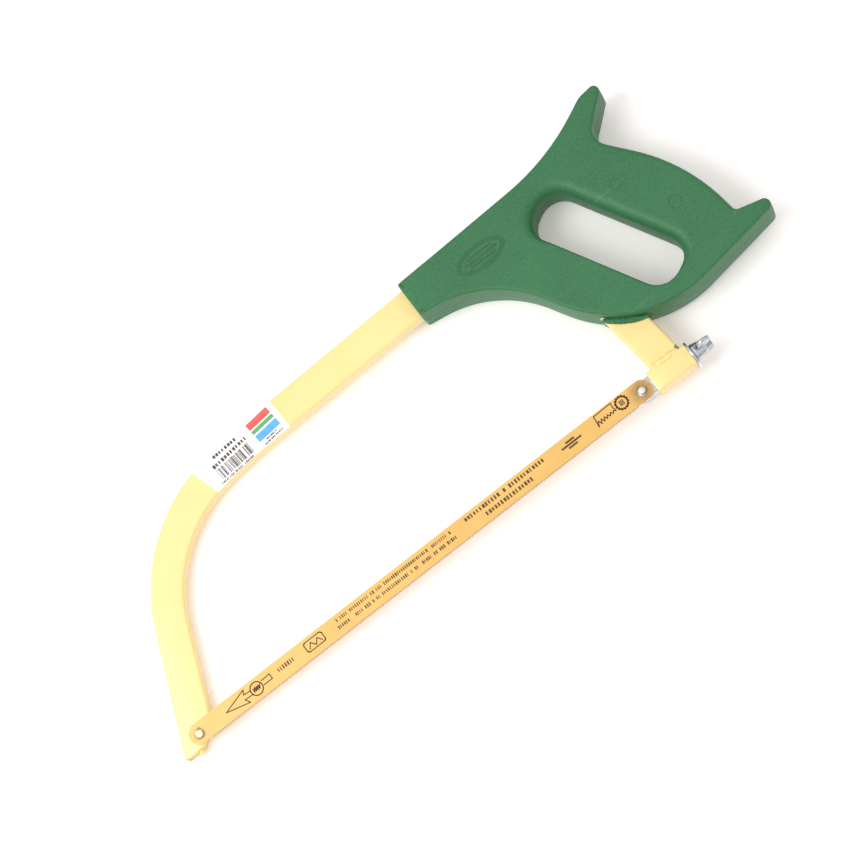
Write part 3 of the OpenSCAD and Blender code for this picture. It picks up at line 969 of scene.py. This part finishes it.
# %% Raised bands
def oval(centre, half_long, half_wide, count=56, clockwise=False):
    sign = -1 if clockwise else 1
    return [Vector((centre[0] + half_long * math.cos(sign * math.tau * i / count),
                    centre[1] + half_wide * math.sin(sign * math.tau * i / count))) for i in range(count)]


def raised(rise_mm, width):
    low = grip_top - 0.3
    return [(0.0, low), (0.0, grip_top + rise_mm * 0.4), (width * 0.12, grip_top + rise_mm * 0.85),
            (width * 0.3, grip_top + rise_mm)]


# The darker green of the marks is painted shade, with a little dust.
mark_plastic, tree, shader, surface = finish("mark_plastic", 2600, 300, 0.05, 0.5, Roughness=0.55)
marks_dust_and_shade = blend_colours(tree, surface.outputs["Patches"], (0.017, 0.105, 0.040), (0.026, 0.135, 0.053))
tree.links.new(marks_dust_and_shade, shader.inputs["Base Color"])
marks = []
gate_ring, ejector_ring = ((377.3, 69.3), 4.0, 0.10), ((358.0, 97.5), 3.2, 0.07)
for n, (centre, radius, tall) in enumerate((gate_ring, ejector_ring)):
    width = 0.5
    outer, inner = circle(centre, radius, 48), circle(centre, radius - width, 48, clockwise=True)
    marks.append(slab(f"ring_{n}", [(loop, raised(tall, width)) for loop in (outer, inner)], mark_plastic))
badge_middle = (277.0, 112.6)
badge_tall = 0.22
for n, (long_half, wide_half) in enumerate(((15.5, 7.2), (13.9, 5.8))):
    band = 0.8
    outer = oval(badge_middle, long_half, wide_half)
    inner = oval(badge_middle, long_half - band, wide_half - band, clockwise=True)
    marks.append(slab(f"badge_{n}", [(loop, raised(badge_tall, band)) for loop in (outer, inner)],
                      mark_plastic))
for n, (shift, half) in enumerate(((-2.4, 8.5), (0.0, 10.5), (2.4, 8.5))):
    rib = rounded([((badge_middle[0] + sx * half, badge_middle[1] + shift + sy * 0.6), 0.5)
                   for sx, sy in RECTANGLE], 15)
    marks.append(slab(f"rib_{n}", [(rib, raised(badge_tall, 0.5))], mark_plastic))
moulded_marks = join_meshes(*marks)
moulded_marks.name = "moulded_marks"
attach(moulded_marks, "frame")
print("moulded marks:", len(moulded_marks.data.polygons), "faces")

# %% [markdown]
# ## Blade
# A hacksaw blade is thin hardened strip with round ends and a hole at each. The strip is a slab whose lower
# edge is the gullet line; the teeth stand below it.

# %% Blade strip
blade_w, blade_t, blade_reach = blade_high.y - blade_low.y, blade_high.z - blade_low.z, 6.35
blade_front, blade_rear = blade_low.x + blade_reach, blade_high.x - blade_reach
tooth_pitch, tooth_high = 25.4 / 24, 0.78
gullet_y = -blade_w / 2 + tooth_high
hole_r = 2.6


def round_end(centre_x, start, end, count=22):
    return [Vector((centre_x + blade_reach * math.cos(a), blade_reach * math.sin(a)))
            for a in (start + (end - start) * i / count for i in range(count + 1))]


gullet_angle = math.asin(gullet_y / blade_reach)
strip = (round_end(blade_rear, gullet_angle, math.pi / 2)
         + round_end(blade_front, math.pi / 2, math.pi - gullet_angle))
edge = 0.06
edge_round = [(edge, blade_low.z), (0.0, blade_low.z + edge), (0.0, blade_high.z - edge),
              (edge, blade_high.z)]
walls = [(spread(strip, 12), edge_round)]
walls += [(circle((x, 0), hole_r, 36, clockwise=True), edge_round) for x in (blade_front, blade_rear)]
blade = slab("blade_strip", walls, blade_lacquer, 40)
print("blade strip, mm:", round(blade_w, 2), "wide and", round(blade_t, 2), "thick")

# %% [markdown]
# ### Teeth
# Twenty-four teeth to the inch is some 270 teeth, far too many to place by hand but a perfect job for
# Geometry Nodes: one small wedge is copied along a line, and its sideways place follows a sine wave,
# because fine blades are wave-set so that the cut is wider than the strip.

# %% The tooth-row tree
teeth_tree, given = start_tree("Tooth_row", {
    "Count": ("NodeSocketInt", 10), "Pitch": ("NodeSocketFloat", 0.001), "Set": ("NodeSocketFloat", 0.0001),
    "Teeth in a wave": ("NodeSocketFloat", 8.0), "First": ("NodeSocketVector", None)})
pitch = add(teeth_tree, "ShaderNodeCombineXYZ", {"X": given["Pitch"]}).outputs[0]
line = {"Count": given["Count"], "Start Location": given["First"], "Offset": pitch}
row = add(teeth_tree, "GeometryNodeMeshLine", line, mode="OFFSET").outputs["Mesh"]
number = add(teeth_tree, "GeometryNodeInputIndex").outputs[0]
phase = maths(teeth_tree, "DIVIDE", maths(teeth_tree, "MULTIPLY", number, math.tau), given["Teeth in a wave"])
swing = maths(teeth_tree, "MULTIPLY", maths(teeth_tree, "SINE", phase, 0.0), given["Set"])
sideways = add(teeth_tree, "ShaderNodeCombineXYZ", {"Z": swing}).outputs[0]
row = add(teeth_tree, "GeometryNodeSetPosition", {"Geometry": row, "Offset": sideways}).outputs["Geometry"]
row = add(teeth_tree, "GeometryNodeInstanceOnPoints",
          {"Points": row, "Instance": given["Geometry"]}).outputs[0]
end_tree(teeth_tree, given, row)

# %% The teeth
tooth_front, tooth_back = 5.0, 5.5
tooth_count = int((blade_rear - tooth_back - blade_front - tooth_front) / tooth_pitch)
root = 0.15
wedge = [(0.04, root), (0.0, -tooth_high), (0.10, -tooth_high), (0.62 * tooth_pitch, -0.22),
         (tooth_pitch, root)]
half_t = blade_t / 2
tooth_sides = [(4, 3, 2, 1, 0), (5, 6, 7, 8, 9)]
teeth = new_object("blade_teeth", [(x, y, z) for z in (-half_t, half_t) for x, y in wedge],
                   tooth_sides + ring_faces(0, len(wedge), len(wedge)))
teeth.data.transform(Matrix.Translation(-DATUM))
grow(teeth, teeth_tree, blade_lacquer, 25, Count=tooth_count, Pitch=tooth_pitch * MM, Set=0.13 * MM,
     First=at(blade_front + tooth_front, gullet_y, blade_low.z + half_t), Teeth_in_a_wave=8.0)
for piece in (blade, teeth):
    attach(piece, "blade")
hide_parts("blade")
print("blade:", len(blade.data.polygons), "faces;", tooth_count, "teeth")

# %% [markdown]
# ## Print on the blade
# Real blades carry a direction arrow, a tooth-pitch mark and rows of small print. The print here is
# generic: an arrow, plain badges, and rows of unreadable dashes. It is a film of ink, so it is thin solid
# geometry that lies on the lacquer. Lines of it are strokes, small boxes laid end to end. A row of dashes
# is one small box that Geometry Nodes copy along a line, with some left out and each a little narrower or
# shorter by chance.

# %% Strokes and dashes of ink
ink_thick = 0.015


def plates(name, shapes, low, high, material):
    """Flat shapes, each a loop of points, given a small thickness."""
    points, faces = [], []
    for loop in shapes:
        first, count = len(points), len(loop)
        points += [(*p, z) for z in (low, high) for p in loop]
        faces += [tuple(first + i for i in range(count)), tuple(first + count + i for i in range(count))]
        faces += ring_faces(first, first + count, count)
    return settle(new_object(name, points, faces), material, 30)


def stroke(points, width, closed=False):
    """A line of ink as a run of quads, each overlapping the next."""
    quads = []
    points = [Vector(p) for p in points]
    for a, b in zip(points, points[1:] + points[:1] if closed else points[1:]):
        way = (b - a).normalized() * width / 2
        side = Vector((-way.y, way.x))
        quads.append([a - way * 0.6 - side, b + way * 0.6 - side, b + way * 0.6 + side, a - way * 0.6 + side])
    return quads


# %% The dash-row tree
dashes_tree, given = start_tree("Dash_row", {
    "Count": ("NodeSocketInt", 10), "Pitch": ("NodeSocketVector", None), "First": ("NodeSocketVector", None),
    "Thinnest": ("NodeSocketFloat", 0.4), "Shortest": ("NodeSocketFloat", 0.7),
    "Turn": ("NodeSocketFloat", 0.0), "Gaps": ("NodeSocketFloat", 0.15), "Seed": ("NodeSocketInt", 1)})
line = {"Count": given["Count"], "Start Location": given["First"], "Offset": given["Pitch"]}
row = add(dashes_tree, "GeometryNodeMeshLine", line, mode="OFFSET").outputs[0]


def chance(tree, low, high, extra):
    """A random number for each point, from the seed."""
    seed = maths(tree, "ADD", given["Seed"], extra)
    node = add(tree, "FunctionNodeRandomValue", data_type="FLOAT")
    for label, value in (("Min", low), ("Max", high), ("Seed", seed)):
        socket = next(s for s in node.inputs if s.name == label and s.enabled)
        if isinstance(value, bpy.types.NodeSocket):
            tree.links.new(value, socket)
        else:
            socket.default_value = value
    return next(s for s in node.outputs if s.enabled)


kept = maths(dashes_tree, "GREATER_THAN", chance(dashes_tree, 0.0, 1.0, 0), given["Gaps"])
turn = add(dashes_tree, "ShaderNodeCombineXYZ", {"Z": given["Turn"]}).outputs[0]
breadth = chance(dashes_tree, given["Thinnest"], 1.0, 7)
length = chance(dashes_tree, given["Shortest"], 1.0, 13)
size = add(dashes_tree, "ShaderNodeCombineXYZ", {"X": breadth, "Y": length, "Z": 1.0}).outputs[0]
dashes = {"Points": row, "Instance": given["Geometry"], "Selection": kept, "Rotation": turn, "Scale": size}
row = add(dashes_tree, "GeometryNodeInstanceOnPoints", dashes).outputs[0]
end_tree(dashes_tree, given, row)


def dash_row(name, start, end, width, height, pitch, z, material, seed,
             gaps=0.15, thinnest=0.45, shortest=0.75):
    """A row of ink dashes from start to end, standing across the row."""
    start, end = Vector(start), Vector(end)
    way = (end - start).normalized()
    count = int((end - start).length / pitch)
    unit = new_object(name, [(sx * width, sy * height / 2, dz) for dz in (0, ink_thick)
                             for sx, sy in ((0, -1), (1, -1), (1, 1), (0, 1))],
                      BOX_FACES)
    unit.data.transform(Matrix.Translation(-DATUM))
    step = way * pitch * MM
    return grow(unit, dashes_tree, material, 30, Count=count, Pitch=(step.x, step.y, 0), First=at(*start, z),
                Thinnest=thinnest, Shortest=shortest, Turn=math.atan2(way.y, way.x), Gaps=gaps, Seed=seed)


# %% The blade's print
ink_z = blade_high.z + 0.002
ink_top = ink_z + ink_thick
thin_line = 0.64
arrow_top = [(18.5, 0.1), (32.9, 4.5), (31.6, 2.1), (36.0, 1.6)]
arrow_low = [(18.5, 0.1), (32.4, -3.5), (30.8, -0.6), (35.6, -0.9)]
pitch_ring_middle, pitch_ring = (39.4, 0.5), 3.7
shapes = stroke(arrow_top, thin_line) + stroke(arrow_low, thin_line)
shapes += stroke(circle(pitch_ring_middle, pitch_ring, 40), thin_line, closed=True)
flag = [(43.9, 2.4), (49.5, 2.6), (49.5, -0.4), (43.7, -0.4)]
shapes += stroke(flag, thin_line)
tick, tick_top, tick_foot = 1.15, pitch_ring_middle[1] + 1.1, pitch_ring_middle[1] - 1.0
for n in range(4):
    x = pitch_ring_middle[0] - 1.9 + n * tick
    shapes += stroke([(x, tick_top), (x, tick_foot), (x + tick, tick_top)], 0.7)
badge = rounded([((79.4 + sx * 6.0, 1.2 + sy * 2.9), 1.4) for sx, sy in RECTANGLE], 18)
shapes += stroke(badge, thin_line, closed=True)
badge_zigzag = [(75.2, -0.5), (77.4, 2.4), (79.6, -0.5), (81.8, 2.4), (83.8, -0.5)]
shapes += stroke(badge_zigzag, thin_line)
print_shapes = plates("blade_print_marks", shapes, ink_z, ink_top, brown_ink)

# %% The maker's-end marks: a saw tooth icon and a pitch wheel
icon = [(270.9, -1.4), (271.7, 5.0), (283.2, 5.3), (282.9, 2.4), (283.5, 0.6)]
zigzag = [(270.9, -1.4)]
for n in range(6):
    zigzag += [(272.3 + n * 2.0, 1.6 - n * 0.1), (273.3 + n * 2.0, -0.7 + n * 0.15)]
wheel_middle, wheel_r, wheel_teeth = (288.3, 1.7), 3.9, 14
wheel = []
for n in range(2 * wheel_teeth):
    a = math.tau * (n // 2 + (0.3 if n % 2 else 0.0)) / wheel_teeth
    reach = wheel_r if n % 2 else wheel_r - 0.7
    wheel.append(Vector(wheel_middle) + Vector((math.cos(a), math.sin(a))) * reach)
shapes = stroke(icon, thin_line) + stroke(zigzag, thin_line) + stroke(wheel, 0.85, closed=True)
shapes += [[Vector(wheel_middle) + Vector((dx + sx * 0.34, sy * 1.6)) for sx, sy in RECTANGLE]
           for dx in (-1.0, 0.0, 1.0)]
bars_middle = 254.0
for row_y, row_half in ((2.9, 2.6), (1.2, 6.2), (-0.5, 2.6)):
    shapes += stroke([(bars_middle - row_half, row_y), (bars_middle + row_half, row_y)], 1.15)
end_marks = plates("blade_print_end", shapes, ink_z, ink_top, brown_ink)

# %% Rows of unreadable print
print_rows = [
    ("blade_row_size", (54.4, 1.1), (66.4, 1.1), 1.15, 2.7, 1.6, 0.0),
    ("blade_row_1", (95.5, 3.2), (173.8, 3.2), 1.0, 2.1, 1.3, 0.12),
    ("blade_row_2", (94.3, -0.8), (175.8, -0.8), 1.0, 2.1, 1.3, 0.10),
    ("blade_row_3", (183.2, 3.4), (238.4, 3.4), 1.6, 2.6, 2.0, 0.10),
    ("blade_row_4", (194.6, -1.1), (227.2, -1.1), 1.6, 2.6, 2.0, 0.04)]
rows = [dash_row(name, a, b, wide, tall, step, ink_z, brown_ink, 11 + n, gaps)
        for n, (name, a, b, wide, tall, step, gaps) in enumerate(print_rows)]
blade_print = join_meshes(print_shapes, end_marks, *rows)
blade_print.name = "blade_print"
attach(blade_print, "blade")
print("blade print:", len(blade_print.data.polygons), "faces")

# %% [markdown]
# ## Label
# A paper label is stuck round the upper rail. It is a strip of grid that follows the tube's centreline and
# its section: over the flat and part of the way round both long corners. Its front end is not quite square
# to the rail, so the points lean less and less towards the back. Solidify gives it the thickness of paper.

# %% Label sheet
route_line = [Vector(tube_route[0][0])]
for i in range(1, len(tube_route) - 1):
    before, here, after = (Vector(tube_route[k][0]) for k in (i - 1, i, i + 1))
    route_line += corner_arc(before, here, after, tube_route[i][1], 1.5)
route_line.append(Vector(tube_route[-1][0]))
label_from, label_to = Vector((82.3, 109.6)), Vector((137.8, 115.0))
label_way = (label_to - label_from).normalized()
label_side = Vector((-label_way.y, label_way.x))


def on_route(x):
    """The point of the upper rail's centreline at this x, and the direction across the rail there."""
    for a, b in zip(route_line, route_line[1:]):
        if a.x <= x <= b.x:
            way = (b - a).normalized()
            return a.lerp(b, (x - a.x) / (b.x - a.x)), Vector((-way.y, way.x))
    raise ValueError(x)


flat_half, paper_gap = tube_w / 2 - tube_corner, 0.02
bend_r = tube_corner + paper_gap
section = []
for side in (-1, 1):
    turns = [math.radians(a) for a in range(0, 66, 13)]
    bend = [(side * (flat_half + bend_r * math.sin(a)), tube_high.z - tube_corner + bend_r * math.cos(a))
            for a in turns]
    section += list(reversed(bend)) if side < 0 else bend
stations = 40
points, faces = [], []
for i in range(stations + 1):
    centre, across = on_route(label_from.x + (label_to.x - label_from.x) * i / stations)
    for n, (offset, z) in enumerate(section):
        lean = -0.16 * offset * (1 - i / stations) * 0.4
        points.append((*(centre + across * offset + label_way * lean), z))
wide = len(section)
for i in range(stations):
    faces += [(i * wide + n, (i + 1) * wide + n, (i + 1) * wide + n + 1, i * wide + n + 1)
              for n in range(wide - 1)]
label = new_object("rail_label", points, faces)
label.data.materials.append(label_paper)
paper = label.modifiers.new("paper", "SOLIDIFY")
paper.thickness = 0.09 * MM
paper.offset = 1
applied(label)
settle(label, label_paper, 40)
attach(label, "frame")
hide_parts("label")
print("label:", len(label.data.polygons), "faces, top at",
      round(max(local(v.co).z for v in label.data.vertices), 3))

# %% [markdown]
# ### Print on the label
# Three plain stripes, a block of bars and five rows of dashes are all generic. They are set out on the
# label's own axes, along the rail and across it, so they lean with the rail.

# %% Label print
label_ink_z = tube_high.z + paper_gap + 0.095
label_ink_top = label_ink_z + ink_thick


def on_label(along, across):
    """A place on the label, from the middle of its front end."""
    return label_from + label_way * along + label_side * across


def label_box(along, across, long_size, wide_size):
    return [on_label(along + sx * long_size, across + sy * wide_size)
            for sx, sy in ((0, 0), (1, 0), (1, 1), (0, 1))]


stripes = []
stripe_start, stripe_long = 37.2, 15.2
for name, ink, low, wide in (("red_stripe", red_ink, 4.1, 4.2), ("green_stripe", green_ink, 1.0, 2.3),
                             ("blue_stripe", blue_ink, -4.5, 4.4)):
    outline = label_box(stripe_start, low, stripe_long, wide)
    stripes.append(plates(name, [outline], label_ink_z, label_ink_top, ink))
    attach(stripes[-1], "frame")
label_rows = [
    ("label_row_1", (12.2, 7.5), (30.4, 6.8), 1.75, 2.1, 2.1, 0.0),
    ("label_row_2", (8.6, 3.1), (34.6, 3.3), 1.75, 2.4, 2.1, 0.0),
    ("label_row_3", (41.0, -5.7), (49.6, -5.7), 0.95, 1.15, 1.1, 0.04),
    ("label_row_4", (38.8, -7.4), (52.4, -7.4), 0.95, 1.15, 1.1, 0.04),
    ("label_row_5", (6.9, -6.9), (30.9, -7.3), 0.85, 1.4, 1.1, 0.04),
    ("label_bars", (8.8, -2.3), (32.4, -2.6), 0.62, 6.9, 0.66, 0.10)]
rows = []
for n, (name, a, b, wide, tall, step, gaps) in enumerate(label_rows):
    thinnest, shortest = (0.25, 0.97) if name == "label_bars" else (0.5, 0.8)
    rows.append(dash_row(name, on_label(*a), on_label(*b), wide, tall, step, label_ink_z, black_ink,
                         31 + n, gaps, thinnest, shortest))
label_print = join_meshes(*rows)
label_print.name = "label_print"
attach(label_print, "frame")
print("label print:", len(label_print.data.polygons), "faces")

# %% [markdown]
# ## Toe
# The tube's lower front end is closed by a steel plug. The front blade pin goes through both, and a second
# peg stands out of the toe's end for a blade turned on its edge. All are painted with the bow.

# %% Toe plug
leg_way = (Vector(tube_route[1][0]) - Vector(tube_route[0][0])).normalized()
leg_side = Vector((-leg_way.y, leg_way.x))
plug_half_w, plug_half_t = tube_w / 2 - tube_wall - 0.02, tube_t / 2 - tube_wall - 0.02
plug_long = 24.0


def plug_ring(shrink, along=None, toe=None):
    """A ring of the plug's section, square to the leg at a distance, or mitred at the toe's level."""
    ring = []
    for corner in rounded([((sx * (plug_half_w - shrink), sy * (plug_half_t - shrink)), 0.8)
                           for sx, sy in RECTANGLE], 18):
        spot = Vector(tube_route[0][0]) + leg_side * corner.x
        reach = along if toe is None else (toe - spot.y) / leg_way.y
        ring.append((*(spot + leg_way * reach), corner.y))
    return ring


def stack(name, rings, material, crisp=32):
    """Rings of the same number of points, closed at both ends."""
    count = len(rings[0])
    faces = [tuple(range(count)), tuple((len(rings) - 1) * count + i for i in range(count))]
    for k in range(len(rings) - 1):
        faces += ring_faces(k * count, (k + 1) * count, count)
    return settle(new_object(name, [p for ring in rings for p in ring], faces), material, crisp)


plug_rings = [plug_ring(0.5, toe=toe_y + 0.15), plug_ring(0.1, toe=toe_y + 0.4),
              plug_ring(0, toe=toe_y + 0.9), plug_ring(0, along=plug_long - 0.6),
              plug_ring(0.6, along=plug_long)]
plug = stack("toe_end_plug", plug_rings, yellow_enamel)
settle(cut(plug, toe_knife(0.25)), yellow_enamel)
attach(plug, "frame")
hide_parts("toe_plug")

# %% Pins
def pin_profile(radius, length, dome):
    """Chamfered foot, straight shank and a domed head with a rounded shoulder."""
    soft, chamfer = 0.45, 0.3
    shoulder = [(radius - soft + soft * math.cos(a), length - dome - soft + soft * math.sin(a))
                for a in (math.pi / 2 * i / 4 for i in range(5))]
    crown = [((radius - soft) * math.cos(a), length - dome + dome * math.sin(a))
             for a in (math.pi / 2 * i / 5 for i in range(1, 6))]
    return [(0, 0), (radius - chamfer, 0), (radius, chamfer), *shoulder, *crown]


def blade_pin(name, node, body, material, dome=0.35):
    low, high = node_span(node)
    radius = (high.x - low.x) / 2
    foot = low.z - 0.12
    profile = pin_profile(radius, high.z - foot, dome)
    piece = lathe(name, profile, ((low.x + high.x) / 2, 0, foot), (0, 0, 1), material, 40, 40)
    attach(piece, body)
    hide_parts(node)
    return piece


blade_pin("front_pin", "front_blade_pin", "frame", pin_enamel)
blade_pin("rear_pin", "rear_blade_pin", "tensioner", pin_steel, 0.15)
peg_low, peg_high = node_span("toe_peg")
peg_r = (peg_high.x - peg_low.x) / 2
peg_root = toe_y + 3
peg_profile = pin_profile(peg_r, peg_root - peg_low.y, 0.3)
peg_foot = ((peg_low.x + peg_high.x) / 2, peg_root, 0)
peg = lathe("side_peg", peg_profile, peg_foot, (0, -1, 0), yellow_enamel, 36, 40)
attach(peg, "frame")
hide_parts("toe_peg")
print("pins and peg are in place")

# %% [markdown]
# ## Tensioner sleeve and welds
# A short square tube is welded across the rear leg's end. Its corners are drawn round and its ends are
# filed. The welds were run along each joint and painted over, so they show as soft ripples. They come from
# the same tree as the flash, with a slightly thinner bead, longer ripples and bigger lumps.

# %% Sleeve
def square_loop(half, corner, step=15):
    return rounded([((sx * half, sy * half), corner) for sx, sy in RECTANGLE], step)


def across_saw(loop, x):
    return [(x, p.x, p.y) for p in loop]


sleeve_half, bore_half, sleeve_round = (sleeve_high.y - sleeve_low.y) / 2, 5.15, 1.25
outer_rings = [(0.35, sleeve_low.x), (0.10, sleeve_low.x + 0.12), (0.0, sleeve_low.x + 0.4),
               (0.0, sleeve_high.x - 0.4), (0.10, sleeve_high.x - 0.12), (0.35, sleeve_high.x)]
inner_rings = [(0.0, sleeve_high.x - 0.25), (0.0, sleeve_low.x + 0.25)]
rings = [across_saw(square_loop(sleeve_half - cut_in, sleeve_round - cut_in / 2), x)
         for cut_in, x in outer_rings]
rings += [across_saw(square_loop(bore_half + 0.25, 0.5), sleeve_high.x)]
rings += [across_saw(square_loop(bore_half - cut_in, 0.35), x) for cut_in, x in inner_rings]
rings += [across_saw(square_loop(bore_half + 0.25, 0.5), sleeve_low.x)]
count = len(rings[0])
faces = []
for k in range(len(rings)):
    faces += ring_faces(k * count, (k + 1) % len(rings) * count, count)
sleeve = new_object("tension_sleeve_tube", [p for ring in rings for p in ring], faces)
settle(sleeve, yellow_enamel, 40)
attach(sleeve, "frame")
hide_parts("tension_sleeve")
print("sleeve:", len(sleeve.data.polygons), "faces")

# %% The welds
joint_from, joint_to = 311.2, 329.6
joint_y, rail_z = sleeve_half, tube_t / 2
for name, node, side, seed in (("weld_bead_near", "weld_near", 1, 3.0),
                               ("weld_bead_far", "weld_far", -1, 8.0)):
    route = [(joint_from + (joint_to - joint_from) * i / 12, joint_y + 0.15 * math.sin(i * 1.7),
              side * (rail_z + 0.3)) for i in range(13)]
    bead = new_object(name, route, edges=chain(len(route)))
    grow(bead, bead_tree, yellow_enamel, 60, Radius=1.9 * MM, Ripple=5.3 * MM, Depth=0.07,
         Unevenness=1.6 * MM, Lumps_per_metre=420, Seed=seed)
    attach(bead, "frame")
    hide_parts(node)
    print(name, "stands to", round(max(local(v.co).z for v in bead.data.vertices), 2))

# %% [markdown]
# ## Draw bolt
# The square shank ends in a round nose that carries the rear pin, and in a screwed rod at the back. The
# thread follows a rule, so it is a cylinder of nodes whose points are moved in or out by how far round and
# how far along they are, which draws a true helix of the stated pitch.

# %% Shank
bolt_low, bolt_high = node_span("draw_bolt")
shank_half = (bolt_high.y - bolt_low.y) / 2
rear_pin_x = local(middle_of("rear_blade_pin")).x
shank_back = sleeve_high.x - 6
nose = [Vector((rear_pin_x + shank_half * math.cos(a), shank_half * math.sin(a)))
        for a in (math.pi / 2 + math.pi * i / 20 for i in range(21))]
shank_loop = nose + [Vector((shank_back, -shank_half)), Vector((shank_back, shank_half))]
chamfer = 0.7
shank_rings = [(chamfer, -shank_half), (0.2, -shank_half + 0.2), (0.0, -shank_half + chamfer),
               (0.0, shank_half - chamfer), (0.2, shank_half - 0.2), (chamfer, shank_half)]
shank = slab("draw_bolt_shank", [(spread(shank_loop, 6), shank_rings)], zinc_plate, 30)

# %% The thread tree
thread_tree, given = start_tree("Screw_thread", {
    "Radius": ("NodeSocketFloat", 0.003), "Length": ("NodeSocketFloat", 0.02),
    "Pitch": ("NodeSocketFloat", 0.001), "Depth": ("NodeSocketFloat", 0.0006),
    "Rings": ("NodeSocketInt", 120), "Place": ("NodeSocketVector", None)})
rod_sizes = {"Vertices": 24, "Side Segments": given["Rings"], "Radius": given["Radius"],
             "Depth": given["Length"]}
rod = add(thread_tree, "GeometryNodeMeshCylinder", rod_sizes).outputs["Mesh"]
spot = add(thread_tree, "GeometryNodeInputPosition").outputs[0]
x, y, z = add(thread_tree, "ShaderNodeSeparateXYZ", {"Vector": spot}).outputs
turned = maths(thread_tree, "DIVIDE", maths(thread_tree, "ARCTAN2", y, x), math.tau)
travel = maths(thread_tree, "SUBTRACT", maths(thread_tree, "DIVIDE", z, given["Pitch"]), turned)
groove = maths(thread_tree, "MULTIPLY", maths(thread_tree, "PINGPONG", travel, 0.5), 2.0)
cut_in = maths(thread_tree, "MULTIPLY", groove, given["Depth"])
shrink = maths(thread_tree, "SUBTRACT", 1.0, maths(thread_tree, "DIVIDE", cut_in, given["Radius"]))
squeezed_x = maths(thread_tree, "MULTIPLY", x, shrink)
squeezed_y = maths(thread_tree, "MULTIPLY", y, shrink)
squeezed = add(thread_tree, "ShaderNodeCombineXYZ", {"X": squeezed_x, "Y": squeezed_y, "Z": z}).outputs[0]
rod = add(thread_tree, "GeometryNodeSetPosition", {"Geometry": rod, "Position": squeezed}).outputs["Geometry"]
rod = add(thread_tree, "GeometryNodeTransform", {"Geometry": rod, "Translation": given["Place"],
                                                 "Rotation": (0, math.pi / 2, 0)}).outputs["Geometry"]
end_tree(thread_tree, given, rod)

# %% The threaded rod
thread_start, thread_end = shank_back - 0.5, bolt_high.x
thread_long = thread_end - thread_start
thread = new_object("bolt_thread", [(0, 0, 0)])
grow(thread, thread_tree, zinc_plate, 50, Radius=2.95 * MM, Length=thread_long * MM, Pitch=1.0 * MM,
     Depth=0.55 * MM, Rings=int(thread_long * 6), Place=at((thread_start + thread_end) / 2, 0, 0))
for piece in (shank, thread):
    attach(piece, "tensioner")
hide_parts("draw_bolt")
print("thread:", len(thread.data.polygons), "faces")

# %% [markdown]
# ## Washer and wing nut
# The washer is a stamped ring with a rolled edge. The wing nut is cast: its hub and wings run into each
# other with soft fillets, so the two are joined by a fine voxel remesh and smoothed, and the bore is cut
# afterwards.

# %% Washer
washer_low, washer_high = node_span("tension_washer")
washer_r, washer_t = (washer_high.y - washer_low.y) / 2, washer_high.x - washer_low.x
washer_hole, rolled = 3.25, 0.15
washer_profile = [
    (washer_hole, rolled), (washer_hole + rolled, 0.0), (washer_r - 0.35, 0.0), (washer_r - 0.08, 0.12),
    (washer_r, 0.45), (washer_r, washer_t - 0.25), (washer_r - 0.25, washer_t),
    (washer_hole + rolled, washer_t), (washer_hole, washer_t - rolled)]
washer = lathe("nut_washer", washer_profile, (washer_low.x, 0, 0), (1, 0, 0), zinc_plate, 56)
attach(washer, "frame")
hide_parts("tension_washer")

# %% Wing nut
nut_low, nut_high = node_span("wing_nut")
nut_x = nut_low.x
hub_r, hub_nose_r, hub_long = (nut_high.y - nut_low.y) / 2, 4.1, 8.0
hub_profile = [(0, 0.1), (hub_r - 0.4, 0.1), (hub_r - 0.15, 0.4), (hub_r - 0.15, 1.4),
               (hub_nose_r, hub_long - 0.6), (hub_nose_r - 0.6, hub_long), (0, hub_long)]
hub = lathe("wing_nut_casting", hub_profile, (nut_x, 0, 0), (1, 0, 0), zinc_plate)
wing = [((1.0, 2.0), 0.4), ((2.2, 6.6), 3), ((4.7, 13.4), 3.2), ((12.9, 12.9), 3.4), ((11.2, 6.2), 5),
        ((7.0, 2.0), 0.4)]
for side in (1, -1):
    loop = rounded(wing, 8)
    layers = []
    for thick, draw_in in ((-0.9, 0.5), (-0.65, 0.12), (0.0, 0.0), (0.65, 0.12), (0.9, 0.5)):
        normals = outward(loop)
        sign = 1 if normals[0].x < 0 or normals[0].y < 0 else -1
        drawn_in = [q - n * draw_in * sign for q, n in zip(loop, normals)]
        layers.append([(nut_x + p.x, thick * (1.6 - 0.03 * p.y), side * p.y) for p in drawn_in])
    hub = join_meshes(hub, stack(f"wing_{side}", layers, zinc_plate))
remesh = hub.modifiers.new("cast", "REMESH")
remesh.mode = "VOXEL"
remesh.voxel_size = 0.22 * MM
applied(hub)
soften = hub.modifiers.new("soften", "SMOOTH")
soften.factor = 0.5
soften.iterations = 6
applied(hub)
bore = lathe("bore", [(0, 0), (3.0, 0), (3.0, 12), (0, 12)], (nut_x - 2, 0, 0), (1, 0, 0), zinc_plate, 40)
wing_nut = settle(cut(hub, bore), zinc_plate, 40)
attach(wing_nut, "wing_nut")
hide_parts("wing_nut")
print("wing nut:", len(wing_nut.data.polygons), "faces")

visual_box = [list(corner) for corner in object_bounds()]
for name, box_now in (("cad", cad_box), ("visual", visual_box)):
    print(name, [round((box_now[1][i] - box_now[0][i]) * 1000, 2) for i in range(3)])
